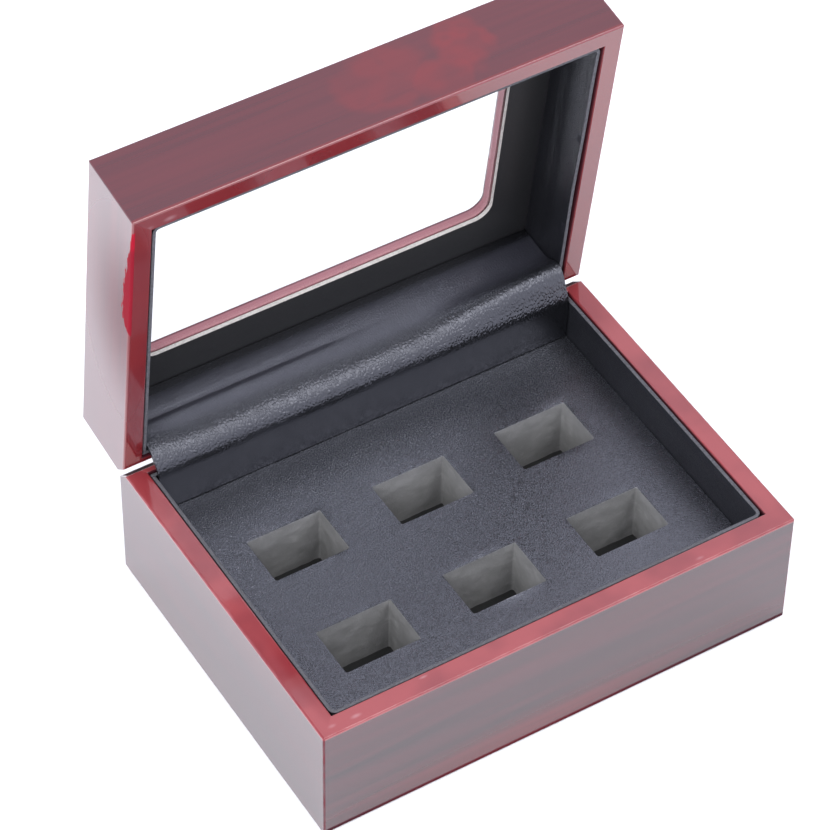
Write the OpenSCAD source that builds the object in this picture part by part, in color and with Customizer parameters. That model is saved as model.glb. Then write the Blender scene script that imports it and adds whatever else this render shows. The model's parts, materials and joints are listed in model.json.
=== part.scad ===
// Ring display box with a glazed lid, shown with the lid standing open.
// The origin is the centre of the felt underside. X runs left to right,
// -Y is the front, +Z is up. All sizes are millimetres.

/* [Box] */
// Outside width of the box, left to right
box_w = 160; // [150:1:180]
// Outside depth of the box, front to rear
box_d = 119; // [112:1:140]
// Height of the base, from the table to its rim
base_h = 44.2; // [40:0.2:55]
// Height of the lid, from its rim to its top
lid_h = 25.6; // [22:0.2:35]
// Thickness of the four walls of the base and of the lid
wall_t = 6.3; // [5.8:0.1:8]
// Radius of the rounded outer edges of the walls
edge_r = 0.6; // [0.4:0.1:1.6]
// Radius of the rounded inner edge of both rims
rim_r = 0.5; // [0.2:0.1:0.8]

/* [Base] */
// Thickness of the board that closes the base
board_t = 5.2; // [2.4:0.1:6]
// Thickness of the felt under the base
felt_t = 0.8; // [0.5:0.1:1.5]
// Distance from the outer faces in to the edge of the felt
felt_inset = 1.5; // [1:0.1:4]
// Thickness of the black card on the floor of the slots
card_t = 1; // [0.6:0.1:1.5]

/* [Ring insert] */
// Thickness of the foam block that holds the rings
foam_t = 20.9; // [16:0.1:24]
// Thickness of the leatherette glued over the foam
cover_t = 0.6; // [0.4:0.1:1]
// Gap between the foam block and the lining around it
foam_gap = 0.2; // [0.1:0.05:0.5]
// Width of one ring slot, left to right
slot_w = 25.2; // [20:0.2:30]
// Depth of one ring slot, front to rear
slot_d = 17.5; // [14:0.5:22]
// Radius of the corners of a slot
slot_r = 1; // [0.5:0.1:2]
// Number of slots in a row
slot_cols = 3; // [2:1:3]
// Number of rows of slots
slot_rows = 2; // [1:1:2]
// Distance between slot centres in a row
slot_pitch_x = 43.15; // [36:0.05:48]
// Distance between the two rows of slots
slot_pitch_y = 40.4; // [32:0.1:46]
// Distance that the slots stand in front of the middle of the box
slot_forward = 2.2; // [0:0.1:5]

/* [Lining] */
// Thickness of the leatherette lining and its card
liner_t = 1.2; // [0.8:0.1:1.8]
// Gap between the lining and the wall behind it
liner_gap = 0.4; // [0.1:0.05:0.6]
// Inner radius of the lining where it bends round the front corners
liner_bend = 2; // [1:0.5:4]
// Distance from a rim down to the edge of its lining
liner_drop = 0.6; // [0.3:0.1:1.5]

/* [Window] */
// Width of the window in the lid
window_w = 120.4; // [100:0.2:124]
// Depth of the window in the lid, front to rear
window_d = 71.4; // [56:0.2:82]
// Radius of the corners of the window
window_r = 5.5; // [3:0.5:10]
// Distance that the window stands to the right of the middle of the lid
window_shift = -2.8; // [-3.5:0.1:3.5]
// Thickness of the frame board around the window
top_t = 3.2; // [2.6:0.1:5]
// Thickness of the clear pane
pane_t = 0.8; // [0.6:0.1:2]
// Distance that the pane reaches past the window on each side
pane_lap = 6; // [4:0.5:8]
// Thickness of the card that holds the pane in place
retainer_t = 1.4; // [0.8:0.1:2]
// Distance that the card stands back from the window at the left and right
retainer_back_x = 0.6; // [0.2:0.1:3]
// Distance that the card stands back from the window at the front and rear
retainer_back_y = 0.2; // [0.1:0.1:2]

/* [Hinges] */
// Angle of the lid where the hinge leaves meet and stop it
open_angle = 82.4; // [74:0.2:90]
// Gap between the two rims when the lid is shut
rim_gap = 0.3; // [0.2:0.05:0.6]
// Distance from the rear face in to the hinge pins
pin_inset = 3; // [2.7:0.1:3.6]
// Distance from the end of the box in to the middle of a hinge
hinge_margin = 35; // [28:1:45]
// Length of one hinge
hinge_len = 30; // [24:1:40]
// Thickness of a hinge leaf
leaf_t = 1; // [0.6:0.05:1.2]
// Distance from the free edge of a leaf to the edge of the wood
leaf_margin = 0.5; // [0.3:0.1:0.8]
// Gap between the two leaves when the lid stands open
stop_gap = 0.2; // [0.1:0.05:0.4]
// Radius of a hinge pin
pin_r = 0.6; // [0.5:0.05:0.7]
// Radial clearance of a pin in its knuckles
pin_play = 0.03; // [0.01:0.01:0.08]
// Wall of a knuckle around its pin
knuckle_wall = 0.5; // [0.4:0.05:0.6]
// Gap between two knuckles, and around them in the wood
knuckle_gap = 0.2; // [0.1:0.05:0.3]
// Thickness of the peened head at each end of a pin
pin_head_t = 0.4; // [0.3:0.05:0.6]
// Distance that the peened head of a pin stands out past its shaft
pin_head_lip = 0.3; // [0.2:0.05:0.45]
// Distance between the two screws of a leaf
screw_pitch = 20; // [14:1:22]
// Radius of the shank of a hinge screw
screw_r = 0.7; // [0.5:0.05:0.8]
// Distance that the countersunk head stands out past the shank
screw_head_lip = 0.4; // [0.3:0.05:0.5]
// Depth of a hinge screw in the wood
screw_len = 3.6; // [2.5:0.1:4]
// Clearance of a screw in its leaf and in the wood
screw_play = 0.04; // [0.02:0.01:0.08]

/* [Leather roll over the hinges] */
// Thickness of the leather
roll_t = 1.2; // [0.8:0.1:1.5]
// Outer radius of the leather where it turns over the hinges
roll_r = 8; // [6:0.5:11]
// Gap between the leather and what it lies on
roll_gap = 0.3; // [0.2:0.05:0.5]

/* [Hidden] */
$fn = 48;
past = 1;
half_turn = 180;

lacquer = "#7a2a32";
leatherette = "#34353d";
foam_grey = "#7d7d78";
felt_black = "#1c1a1c";
raw_card = "#d8cfbf";
clear = [0.85, 0.92, 0.95, 0.35];
brass = "#b08d4f";

inner_w = box_w - 2 * wall_t;
inner_d = box_d - 2 * wall_t;
floor_z = felt_t + board_t;
foam_z = floor_z + card_t;
cover_z = foam_z + foam_t;
insert_z = cover_z + cover_t;
liner_step = liner_gap + liner_t;

lid_rim_z = base_h + rim_gap;
lid_top_z = lid_rim_z + lid_h;
pane_z = lid_top_z - top_t - pane_t;
retainer_z = pane_z - retainer_t;

hinge_x = box_w / 2 - hinge_margin;
pin_y = box_d / 2 - pin_inset;
pin_z = base_h + rim_gap / 2;
groove_angle = open_angle / 2;
groove_off = leaf_t + stop_gap / 2;
groove_len = (pin_inset + groove_off * sin(groove_angle)) / cos(groove_angle);
leaf_w = groove_len - leaf_margin;
knuckle_r = pin_r + pin_play + knuckle_wall;
knuckle_room = knuckle_r + knuckle_gap;
knuckle_len = hinge_len / 3;
screw_u = (knuckle_room + leaf_w) / 2;
screw_head_r = screw_r + screw_head_lip;

roll_w = inner_w - 2 * (liner_step + roll_gap);
roll_front = inner_d / 2 - liner_step - roll_gap - roll_t;
roll_centre_y = roll_front + roll_r;
roll_centre_z = pin_z - (roll_centre_y - pin_y) * tan(groove_angle);
roll_base_run = roll_centre_z - insert_z - roll_gap;
roll_lid_run = retainer_z - roll_gap - 2 * pin_z + roll_centre_z;
roll_steps = 12;

// Place the lid: drawn shut, then turned back about the hinge pins
module opened() {
    translate([0, pin_y, pin_z]) rotate([-open_angle, 0, 0]) translate([0, -pin_y, -pin_z])
        children();
}

// Turn a shape drawn on the base into its mirror image on the shut lid
module on_lid() {
    translate([0, 0, pin_z]) mirror([0, 0, 1]) translate([0, 0, -pin_z]) children();
}

// Draw at both hinges
module at_hinges() {
    for (side = [-1, 1])
        translate([side * hinge_x, 0, 0]) children();
}

// Frame of a base leaf: Y runs out along the groove, Z stands off the wood
module on_groove() {
    translate([0, pin_y, pin_z]) rotate([-groove_angle, 0, 0]) children();
}

// Rectangle with round corners, centred
module round_rect(w, d, r) {
    square([w - 2 * r, d], center = true);
    square([w, d - 2 * r], center = true);
    for (x = [-1, 1], y = [-1, 1])
        translate([x * (w / 2 - r), y * (d / 2 - r)]) circle(r);
}

// What a round of radius r takes off a square corner at the origin
module corner_waste(r) {
    difference() {
        translate([-past, -past]) square(r + past);
        translate([r, r]) circle(r);
    }
}

// Cross-section of a wall: x from the outer face inwards, y up from its bottom
// edge. The bottom outer edge, the top outer edge and the top inner edge are
// rounded by the radii given.
module wall_section(h, r_low, r_top, r_rim) {
    difference() {
        square([wall_t, h]);
        corner_waste(r_low);
        translate([0, h]) mirror([0, 1]) corner_waste(r_top);
        translate([wall_t, h]) mirror([1, 0]) mirror([0, 1]) corner_waste(r_rim);
    }
}

// Wall along the front, long enough for its mitres, standing on z = 0
module straight_wall(length, h, r_low, r_top, r_rim) {
    translate([length / 2, 0, 0]) rotate([90, 0, -90])
        linear_extrude(length) wall_section(h, r_low, r_top, r_rim);
}

// Plan of a front wall of a box w by d: mitred ends and round outer corners
module mitred_plan(w, d) {
    intersection() {
        round_rect(w, d, edge_r);
        polygon([[-w / 2, -d / 2], [w / 2, -d / 2],
            [w / 2 - wall_t, -d / 2 + wall_t], [-w / 2 + wall_t, -d / 2 + wall_t]]);
    }
}

// One mitred wall of a box w by d and h high, at the front
module mitred_wall(w, d, h, r_low, r_top, r_rim) {
    intersection() {
        translate([0, -d / 2, 0]) mirror([0, 1, 0])
            straight_wall(w + past, h, r_low, r_top, r_rim);
        linear_extrude(h) mitred_plan(w, d);
    }
}

// The wall of one side, by its turn from the front
module base_wall(turn) {
    w = (turn % half_turn == 0) ? box_w : box_d;
    d = (turn % half_turn == 0) ? box_d : box_w;
    translate([0, 0, felt_t]) rotate([0, 0, turn])
        mitred_wall(w, d, base_h - felt_t, edge_r / 2, edge_r, rim_r);
}

// A lid wall is drawn upside down, with its rim up, and then turned over
module lid_wall(turn) {
    w = (turn % half_turn == 0) ? box_w : box_d;
    d = (turn % half_turn == 0) ? box_d : box_w;
    translate([0, 0, lid_top_z]) mirror([0, 0, 1]) rotate([0, 0, turn])
        mitred_wall(w, d, lid_h, edge_r, edge_r, rim_r);
}

// The sloping groove cut along the rear edge of the base's rim
module groove_waste() {
    on_groove() translate([-box_w / 2 - past, -box_d / 2, -groove_off])
        cube([box_w + 2 * past, box_d, box_d]);
}

// Room for the knuckles of one hinge and for the heads of its pin
module knuckle_waste() {
    length = hinge_len + 2 * (pin_head_t + knuckle_gap);
    translate([-length / 2, pin_y, pin_z]) rotate([0, 90, 0]) cylinder(h = length, r = knuckle_room);
}

// Pilot holes for the two screws of a leaf
module pilot_holes() {
    on_groove() for (side = [-1, 1])
        translate([side * screw_pitch / 2, screw_u, -groove_off - screw_len - screw_play])
            cylinder(h = screw_len + screw_play + past, r = screw_r + screw_play);
}

// What the hinges take out of the base's rear edge
module hinge_waste() {
    groove_waste();
    at_hinges() {
        knuckle_waste();
        pilot_holes();
    }
}

module base_front_panel() {
    color(lacquer) base_wall(0);
}

module base_rear_panel() {
    color(lacquer) difference() {
        base_wall(180);
        hinge_waste();
    }
}

module base_left_panel() {
    color(lacquer) difference() {
        base_wall(-90);
        groove_waste();
    }
}

module base_right_panel() {
    color(lacquer) difference() {
        base_wall(90);
        groove_waste();
    }
}

module base_board() {
    color(lacquer) translate([-inner_w / 2, -inner_d / 2, felt_t]) cube([inner_w, inner_d, board_t]);
}

module base_felt() {
    color(felt_black) linear_extrude(felt_t)
        round_rect(box_w - 2 * felt_inset, box_d - 2 * felt_inset, edge_r);
}

module slot_floor_card() {
    color(felt_black) translate([0, 0, floor_z]) linear_extrude(card_t) tray_plan(foam_gap);
}

// The openings of all ring slots, in plan
module slot_plan() {
    for (col = [0 : slot_cols - 1], row = [0 : slot_rows - 1])
        translate([(col - (slot_cols - 1) / 2) * slot_pitch_x,
            (row - (slot_rows - 1) / 2) * slot_pitch_y - slot_forward])
            round_rect(slot_w, slot_d, slot_r);
}

module ring_foam() {
    color(foam_grey) translate([0, 0, foam_z]) linear_extrude(foam_t) difference() {
        tray_plan(foam_gap);
        slot_plan();
    }
}

module foam_cover() {
    color(leatherette) translate([0, 0, cover_z]) linear_extrude(cover_t) difference() {
        tray_plan(foam_gap);
        slot_plan();
    }
}

// Plan of what fits inside the lining, a gap off it: round front corners
module tray_plan(gap) {
    w = inner_w - 2 * (liner_step + gap);
    d = inner_d - 2 * (liner_step + gap);
    round_rect(w, d, liner_bend);
    translate([-w / 2, 0]) square([w, d / 2]);
}

// Lining bent round the left, front and right walls, open at the rear
module bent_lining(z_low, z_high) {
    rear_y = inner_d / 2 - liner_step;
    translate([0, 0, z_low]) linear_extrude(z_high - z_low) difference() {
        round_rect(inner_w - 2 * liner_gap, inner_d - 2 * liner_gap, liner_bend + liner_t);
        tray_plan(0);
        translate([-inner_w / 2, rear_y]) square([inner_w, inner_d]);
    }
}

// Flat lining along the rear wall
module rear_lining(z_low, z_high) {
    length = inner_w - 2 * liner_gap;
    translate([-length / 2, inner_d / 2 - liner_step, z_low]) cube([length, liner_t, z_high - z_low]);
}

module base_lining() {
    color(leatherette) bent_lining(floor_z, base_h - liner_drop);
}

module base_rear_lining() {
    color(leatherette) rear_lining(floor_z, base_h - liner_drop);
}

// Point of the roll's section, x to the rear and y up from the arc's centre, at
// a radius, after a turn from the base, and then on by a run along its tangent
function roll_point(radius, turn, run) =
    [run * sin(turn) - radius * cos(turn), run * cos(turn) + radius * sin(turn)];

// One side of the section: up the base's rear lining from the ring insert, over
// the hinges, and on along the open lid to the retainer
function roll_side(radius) = concat(
    [roll_point(radius, 0, -roll_base_run)],
    [for (i = [0 : roll_steps]) roll_point(radius, i * open_angle / roll_steps, 0)],
    [roll_point(radius, open_angle, roll_lid_run)]);

function backwards(points) = [for (i = [len(points) - 1 : -1 : 0]) points[i]];

module hinge_roll() {
    color(leatherette) translate([-roll_w / 2, roll_centre_y, roll_centre_z]) rotate([90, 0, 90])
        linear_extrude(roll_w) polygon(concat(roll_side(roll_r), backwards(roll_side(roll_r - roll_t))));
}

// Knuckles of a leaf by their places along the hinge, from the left
module knuckles(places) {
    for (place = places)
        translate([place * knuckle_len - hinge_len / 2 + knuckle_gap / 2, 0, 0]) rotate([0, 90, 0])
            cylinder(h = knuckle_len - knuckle_gap, r = knuckle_r);
}

// Room in a leaf for the other leaf's knuckles
module knuckle_slots(places) {
    for (place = places)
        translate([place * knuckle_len - hinge_len / 2 - knuckle_gap / 2, 0, 0]) rotate([0, 90, 0])
            cylinder(h = knuckle_len + knuckle_gap, r = knuckle_room);
}

// Countersunk hole or screw, pointing down from the face of a leaf
module countersunk(head_r, shank_r, length) {
    head_h = head_r - shank_r;
    translate([0, 0, -length]) cylinder(h = length, r = shank_r);
    translate([0, 0, -head_h]) cylinder(h = head_h, r1 = shank_r, r2 = head_r);
}

// One leaf about its pin, in the groove's frame
module leaf(own, other) {
    difference() {
        union() {
            translate([-hinge_len / 2, 0, -groove_off]) cube([hinge_len, leaf_w, leaf_t]);
            knuckles(own);
        }
        knuckle_slots(other);
        translate([-hinge_len / 2 - past, 0, 0]) rotate([0, 90, 0])
            cylinder(h = hinge_len + 2 * past, r = pin_r + pin_play);
        for (side = [-1, 1])
            translate([side * screw_pitch / 2, screw_u, -stop_gap / 2])
                countersunk(screw_head_r + screw_play, screw_r + screw_play, leaf_t + past);
    }
}

module base_leaf(side) {
    color(brass) translate([side * hinge_x, 0, 0]) on_groove() leaf([0, 2], [1]);
}

module lid_leaf(side) {
    color(brass) opened() on_lid() translate([side * hinge_x, 0, 0]) on_groove() leaf([1], [0, 2]);
}

// Pin of one hinge with its peened heads
module hinge_pin(side) {
    shaft = hinge_len + knuckle_gap;
    color(brass) translate([side * hinge_x, pin_y, pin_z]) rotate([0, 90, 0]) {
        cylinder(h = shaft, r = pin_r, center = true);
        for (end = [-1, 1])
            translate([0, 0, end * (shaft + pin_head_t) / 2])
                cylinder(h = pin_head_t, r = pin_r + pin_head_lip, center = true);
    }
}

// The four screws of two leaves, heads just below the faces of the leaves
module leaf_screws() {
    at_hinges() on_groove() for (side = [-1, 1])
        translate([side * screw_pitch / 2, screw_u, -stop_gap / 2 - screw_play])
            countersunk(screw_head_r, screw_r, leaf_t + screw_len - screw_play);
}

module hinge_base_leaf_left() {
    base_leaf(-1);
}

module hinge_base_leaf_right() {
    base_leaf(1);
}

module hinge_pin_left() {
    hinge_pin(-1);
}

module hinge_pin_right() {
    hinge_pin(1);
}

module hinge_base_screws() {
    color(brass) leaf_screws();
}

module lid_front_panel() {
    color(lacquer) opened() lid_wall(0);
}

module lid_rear_panel() {
    color(lacquer) opened() difference() {
        lid_wall(180);
        on_lid() hinge_waste();
    }
}

module lid_left_panel() {
    color(lacquer) opened() difference() {
        lid_wall(-90);
        on_lid() groove_waste();
    }
}

module lid_right_panel() {
    color(lacquer) opened() difference() {
        lid_wall(90);
        on_lid() groove_waste();
    }
}

module lid_top_frame() {
    color(lacquer) opened() translate([0, 0, lid_top_z - top_t]) linear_extrude(top_t) difference() {
        square([inner_w, inner_d], center = true);
        translate([window_shift, 0]) round_rect(window_w, window_d, window_r);
    }
}

module window_pane() {
    color(clear) opened() translate([window_shift, 0, pane_z]) linear_extrude(pane_t)
        square([window_w + 2 * pane_lap, window_d + 2 * pane_lap], center = true);
}

module pane_retainer() {
    color(raw_card) opened() translate([0, 0, retainer_z]) linear_extrude(retainer_t) difference() {
        square([inner_w - 2 * liner_gap, inner_d - 2 * liner_gap], center = true);
        translate([window_shift, 0]) round_rect(window_w + 2 * retainer_back_x,
            window_d + 2 * retainer_back_y, window_r + retainer_back_y);
    }
}

module lid_lining() {
    color(leatherette) opened() bent_lining(lid_rim_z + liner_drop, retainer_z);
}

module lid_rear_lining() {
    color(leatherette) opened() rear_lining(lid_rim_z + liner_drop, retainer_z);
}

module hinge_lid_leaf_left() {
    lid_leaf(-1);
}

module hinge_lid_leaf_right() {
    lid_leaf(1);
}

module hinge_lid_screws() {
    color(brass) opened() on_lid() leaf_screws();
}

base_front_panel();
base_rear_panel();
base_left_panel();
base_right_panel();
base_board();
base_felt();
slot_floor_card();
ring_foam();
foam_cover();
base_lining();
base_rear_lining();
hinge_roll();
hinge_base_leaf_left();
hinge_base_leaf_right();
hinge_pin_left();
hinge_pin_right();
hinge_base_screws();
lid_front_panel();
lid_rear_panel();
lid_left_panel();
lid_right_panel();
lid_top_frame();
window_pane();
pane_retainer();
lid_lining();
lid_rear_lining();
hinge_lid_leaf_left();
hinge_lid_leaf_right();
hinge_lid_screws();
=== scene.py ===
"""The looks of a ring display box with a glazed lid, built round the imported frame.

The lacquered walls, the pane and the hinges are the frame's own pieces. The foam,
the leatherette, the linings, the leather over the hinges, the card that holds the
pane and the felt are modelled here, in metres. What belongs to the lid is drawn
with the lid shut and then turned open about the hinge pins.
"""

import json
import logging
import math
from collections.abc import Callable, Iterator
from contextlib import contextmanager
from dataclasses import dataclass, field
from enum import Enum

import bmesh
import bpy
from mathutils import Matrix, Vector


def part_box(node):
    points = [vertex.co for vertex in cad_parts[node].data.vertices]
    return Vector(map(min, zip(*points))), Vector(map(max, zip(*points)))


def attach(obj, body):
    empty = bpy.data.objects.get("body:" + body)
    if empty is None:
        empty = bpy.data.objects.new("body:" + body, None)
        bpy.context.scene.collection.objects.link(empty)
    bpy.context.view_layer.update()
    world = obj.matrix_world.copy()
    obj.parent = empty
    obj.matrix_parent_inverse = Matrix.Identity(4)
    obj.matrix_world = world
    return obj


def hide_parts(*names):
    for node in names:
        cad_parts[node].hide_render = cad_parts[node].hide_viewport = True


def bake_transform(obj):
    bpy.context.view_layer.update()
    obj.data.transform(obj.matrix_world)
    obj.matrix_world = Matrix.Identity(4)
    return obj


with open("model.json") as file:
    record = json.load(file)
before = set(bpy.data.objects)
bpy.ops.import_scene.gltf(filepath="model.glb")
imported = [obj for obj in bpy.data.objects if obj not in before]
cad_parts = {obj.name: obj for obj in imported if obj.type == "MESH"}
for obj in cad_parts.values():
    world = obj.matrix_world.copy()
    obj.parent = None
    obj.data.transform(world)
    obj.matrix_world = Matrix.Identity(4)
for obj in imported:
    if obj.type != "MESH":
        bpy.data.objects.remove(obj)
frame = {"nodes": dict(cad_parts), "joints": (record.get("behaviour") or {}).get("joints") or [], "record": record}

LOG = logging.getLogger("ring_box")
MM = 0.001
TOUCH = 0.02 * MM

Box = tuple[Vector, Vector]
Colour = tuple[float, float, float, float]
Socket = bpy.types.NodeSocket
Test = Callable[[object], bool]
LEATHER_SHEEN: Colour = (0.86, 0.88, 1.0, 1.0)

# Faces that marks on the wood are placed by, in millimetres, with the lid shut
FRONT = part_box("base_front_panel")[0].y / MM
BASE_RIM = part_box("base_front_panel")[1].z / MM
LID_RIM = 2 * frame["joints"][0]["pos_m"][2] / MM - BASE_RIM


class Pick(Enum):
    """What edit mode selects."""

    VERTICES = "VERT"
    EDGES = "EDGE"
    FACES = "FACE"


class Grain(Enum):
    """The way the wood's figure runs, as the turn that brings it onto X, in degrees."""

    ALONG_X = 0.0
    ALONG_Y = 90.0


class Body(Enum):
    """The two bodies of the frame."""

    BASE = "base"
    LID = "lid"


class Slot(Enum):
    """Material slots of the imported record."""

    LEATHERETTE = "leatherette"
    SOFT_LEATHER = "soft_leather"
    FELT = "felt"
    FOAM = "foam"
    FACED_CARD = "faced_card"


def grey(value: float, blue: float = 1.0) -> Colour:
    """A grey of a linear value, leaning to blue where blue is over 1."""
    return (value, value, value * blue, 1.0)


def select_only(piece: bpy.types.Object) -> None:
    """Make one piece the only selected and the active one."""
    bpy.ops.object.select_all(action="DESELECT")
    piece.select_set(True)
    bpy.context.view_layer.objects.active = piece


def named_piece(name: str) -> bpy.types.Object:
    """Name the primitive just added and put its place into its mesh.

    Args:
        name: The piece's name.

    Returns:
        The piece, with its object at the origin.
    """
    piece = bpy.context.object
    piece.name = name
    piece.data.name = name
    select_only(piece)
    bpy.ops.object.transform_apply(location=True, rotation=True, scale=True)
    return piece


def block(name: str, low: Vector, high: Vector) -> bpy.types.Object:
    """Start a piece as a block between two corners.

    Args:
        name: The piece's name.
        low: Its lowest corner.
        high: Its highest corner.

    Returns:
        The block, ready to be shaped.
    """
    bpy.ops.object.select_all(action="DESELECT")
    bpy.ops.mesh.primitive_cube_add(size=1.0, location=(low + high) / 2, scale=high - low)
    return named_piece(name)


@contextmanager
def editing(piece: bpy.types.Object, pick: Pick) -> Iterator[None]:
    """Edit mode on one piece, with nothing selected at the start.

    Args:
        piece: The piece to shape.
        pick: What is selected.

    Yields:
        Nothing; edit mode ends with the block.
    """
    select_only(piece)
    bpy.ops.object.mode_set(mode="EDIT")
    bpy.ops.mesh.select_mode(type=pick.value)
    bpy.ops.mesh.select_all(action="DESELECT")
    try:
        yield
    finally:
        bpy.ops.object.mode_set(mode="OBJECT")


def choose(piece: bpy.types.Object, pick: Pick, test: Test) -> None:
    """Select what passes a test, in edit mode.

    Args:
        piece: The piece in edit mode.
        pick: Vertices, edges or faces.
        test: Says of one of them whether it is selected.
    """
    mesh = bmesh.from_edit_mesh(piece.data)
    parts = {Pick.VERTICES: mesh.verts, Pick.EDGES: mesh.edges, Pick.FACES: mesh.faces}[pick]
    chosen = [part for part in parts if test(part)]
    if not chosen:
        raise RuntimeError(f"nothing on {piece.name} passed the test")
    for part in chosen:
        part.select_set(True)
    mesh.select_flush_mode()
    bmesh.update_edit_mesh(piece.data)


def middle(part: object) -> Vector:
    """Middle of an edge or a face, from its vertices."""
    return sum((vertex.co for vertex in part.verts), Vector()) / len(part.verts)


def runs(edge: object, axis: int, longer_than: float = 0.0) -> bool:
    """Whether an edge runs along an axis and is longer than a length."""
    way = edge.verts[1].co - edge.verts[0].co
    return way.length > longer_than and abs(way[axis]) > 0.999 * way.length


def level(edge: object, height: float) -> bool:
    """Whether both ends of an edge lie at a height."""
    return all(abs(vertex.co.z - height) < TOUCH for vertex in edge.verts)


def apply_modifier(piece: bpy.types.Object, kind: str, **settings: object) -> None:
    """Add a modifier to a piece and apply it.

    Args:
        piece: The piece that it shapes.
        kind: The modifier's type.
        **settings: Its values by name.
    """
    modifier = piece.modifiers.new(kind.lower(), kind)
    for name, value in settings.items():
        setattr(modifier, name, value)
    select_only(piece)
    bpy.ops.object.modifier_apply(modifier=modifier.name)


def eased(share: float) -> float:
    """A share of 0 to 1, slowed at both ends."""
    return share * share * (3 - 2 * share)


def bell(distance: float, half: float) -> float:
    """A smooth bump of height 1, about a distance of 0."""
    return math.exp(-((distance / half) ** 2))


def clouds(name: str, size: float, depth: int = 2) -> bpy.types.Texture:
    """A soft noise that the Displace modifier moves a surface by.

    Args:
        name: The texture's name.
        size: Size of its lumps, in metres.
        depth: How many finer layers lie over them.

    Returns:
        The texture.
    """
    texture = bpy.data.textures.new(name, "CLOUDS")
    texture.noise_scale = size
    texture.noise_depth = depth
    return texture


def group_vertices(piece: bpy.types.Object, name: str, test: Test) -> str:
    """Gather the vertices that pass a test in a vertex group.

    Args:
        piece: The piece.
        name: The group's name.
        test: Says of a vertex whether it belongs.

    Returns:
        The group's name.
    """
    group = piece.vertex_groups.new(name=name)
    group.add([vertex.index for vertex in piece.data.vertices if test(vertex)], 1.0, "REPLACE")
    return name


def paint(piece: bpy.types.Object, materials: list[bpy.types.Material], test: Test | None = None) -> None:
    """Give a piece its materials, the second one on the faces that pass a test.

    Args:
        piece: The piece.
        materials: One material, or two.
        test: Says of a face whether it takes the second material.
    """
    for material in materials:
        piece.data.materials.append(material)
    if test is None:
        return
    with editing(piece, Pick.FACES):
        choose(piece, Pick.FACES, test)
        piece.active_material_index = 1
        bpy.ops.object.material_slot_assign()


def smooth(piece: bpy.types.Object, degrees: float = 35.0) -> None:
    """Shade a piece smooth, apart from edges sharper than an angle."""
    select_only(piece)
    bpy.ops.object.shade_smooth_by_angle(angle=math.radians(degrees))


def hand_over(piece: bpy.types.Object, body: Body, slot: Slot, *nodes: str) -> None:
    """Put a finished piece on its body, in place of its CAD nodes.

    Args:
        piece: The finished piece.
        body: The body that it moves with.
        slot: Not used.
        *nodes: The CAD nodes that it stands for.
    """
    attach(piece, body.value)
    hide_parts(*nodes)
    LOG.info("%s: %d faces, on the %s", piece.name, len(piece.data.polygons), body.value)


def dress_node(node: str, material: bpy.types.Material) -> None:
    """Give one of the frame's own pieces a material."""
    slots = frame["nodes"][node].data.materials
    slots.clear()
    slots.append(material)


@dataclass(frozen=True)
class LidHinge:
    """Where and how far the lid turns."""

    pivot: Vector
    swing: float

    @classmethod
    def from_frame(cls) -> "LidHinge":
        """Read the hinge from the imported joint."""
        joint = frame["joints"][0]
        return cls(Vector(joint["pos_m"]), math.radians(joint["range_deg"][1]))

    def shutting(self) -> Matrix:
        """The move that takes the open lid to the shut one."""
        turn = Matrix.Rotation(self.swing, 4, "X")
        return Matrix.Translation(self.pivot) @ turn @ Matrix.Translation(-self.pivot)

    def open_up(self, piece: bpy.types.Object) -> None:
        """Turn a piece that was drawn on the shut lid to where it is with the lid open."""
        with editing(piece, Pick.VERTICES):
            bpy.ops.mesh.select_all(action="SELECT")
            bpy.ops.transform.rotate(
                value=self.swing,
                orient_axis="X",
                orient_type="GLOBAL",
                center_override=self.pivot,
            )

    def shut_points(self, node: str) -> list[Vector]:
        """A lid node's points with the lid shut."""
        turn = self.shutting()
        return [turn @ vertex.co for vertex in frame["nodes"][node].data.vertices]

    def shut_box(self, node: str) -> Box:
        """Lowest and highest corner of a lid node with the lid shut."""
        points = self.shut_points(node)
        low = Vector([min(point[axis] for point in points) for axis in range(3)])
        high = Vector([max(point[axis] for point in points) for axis in range(3)])
        return low, high


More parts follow.
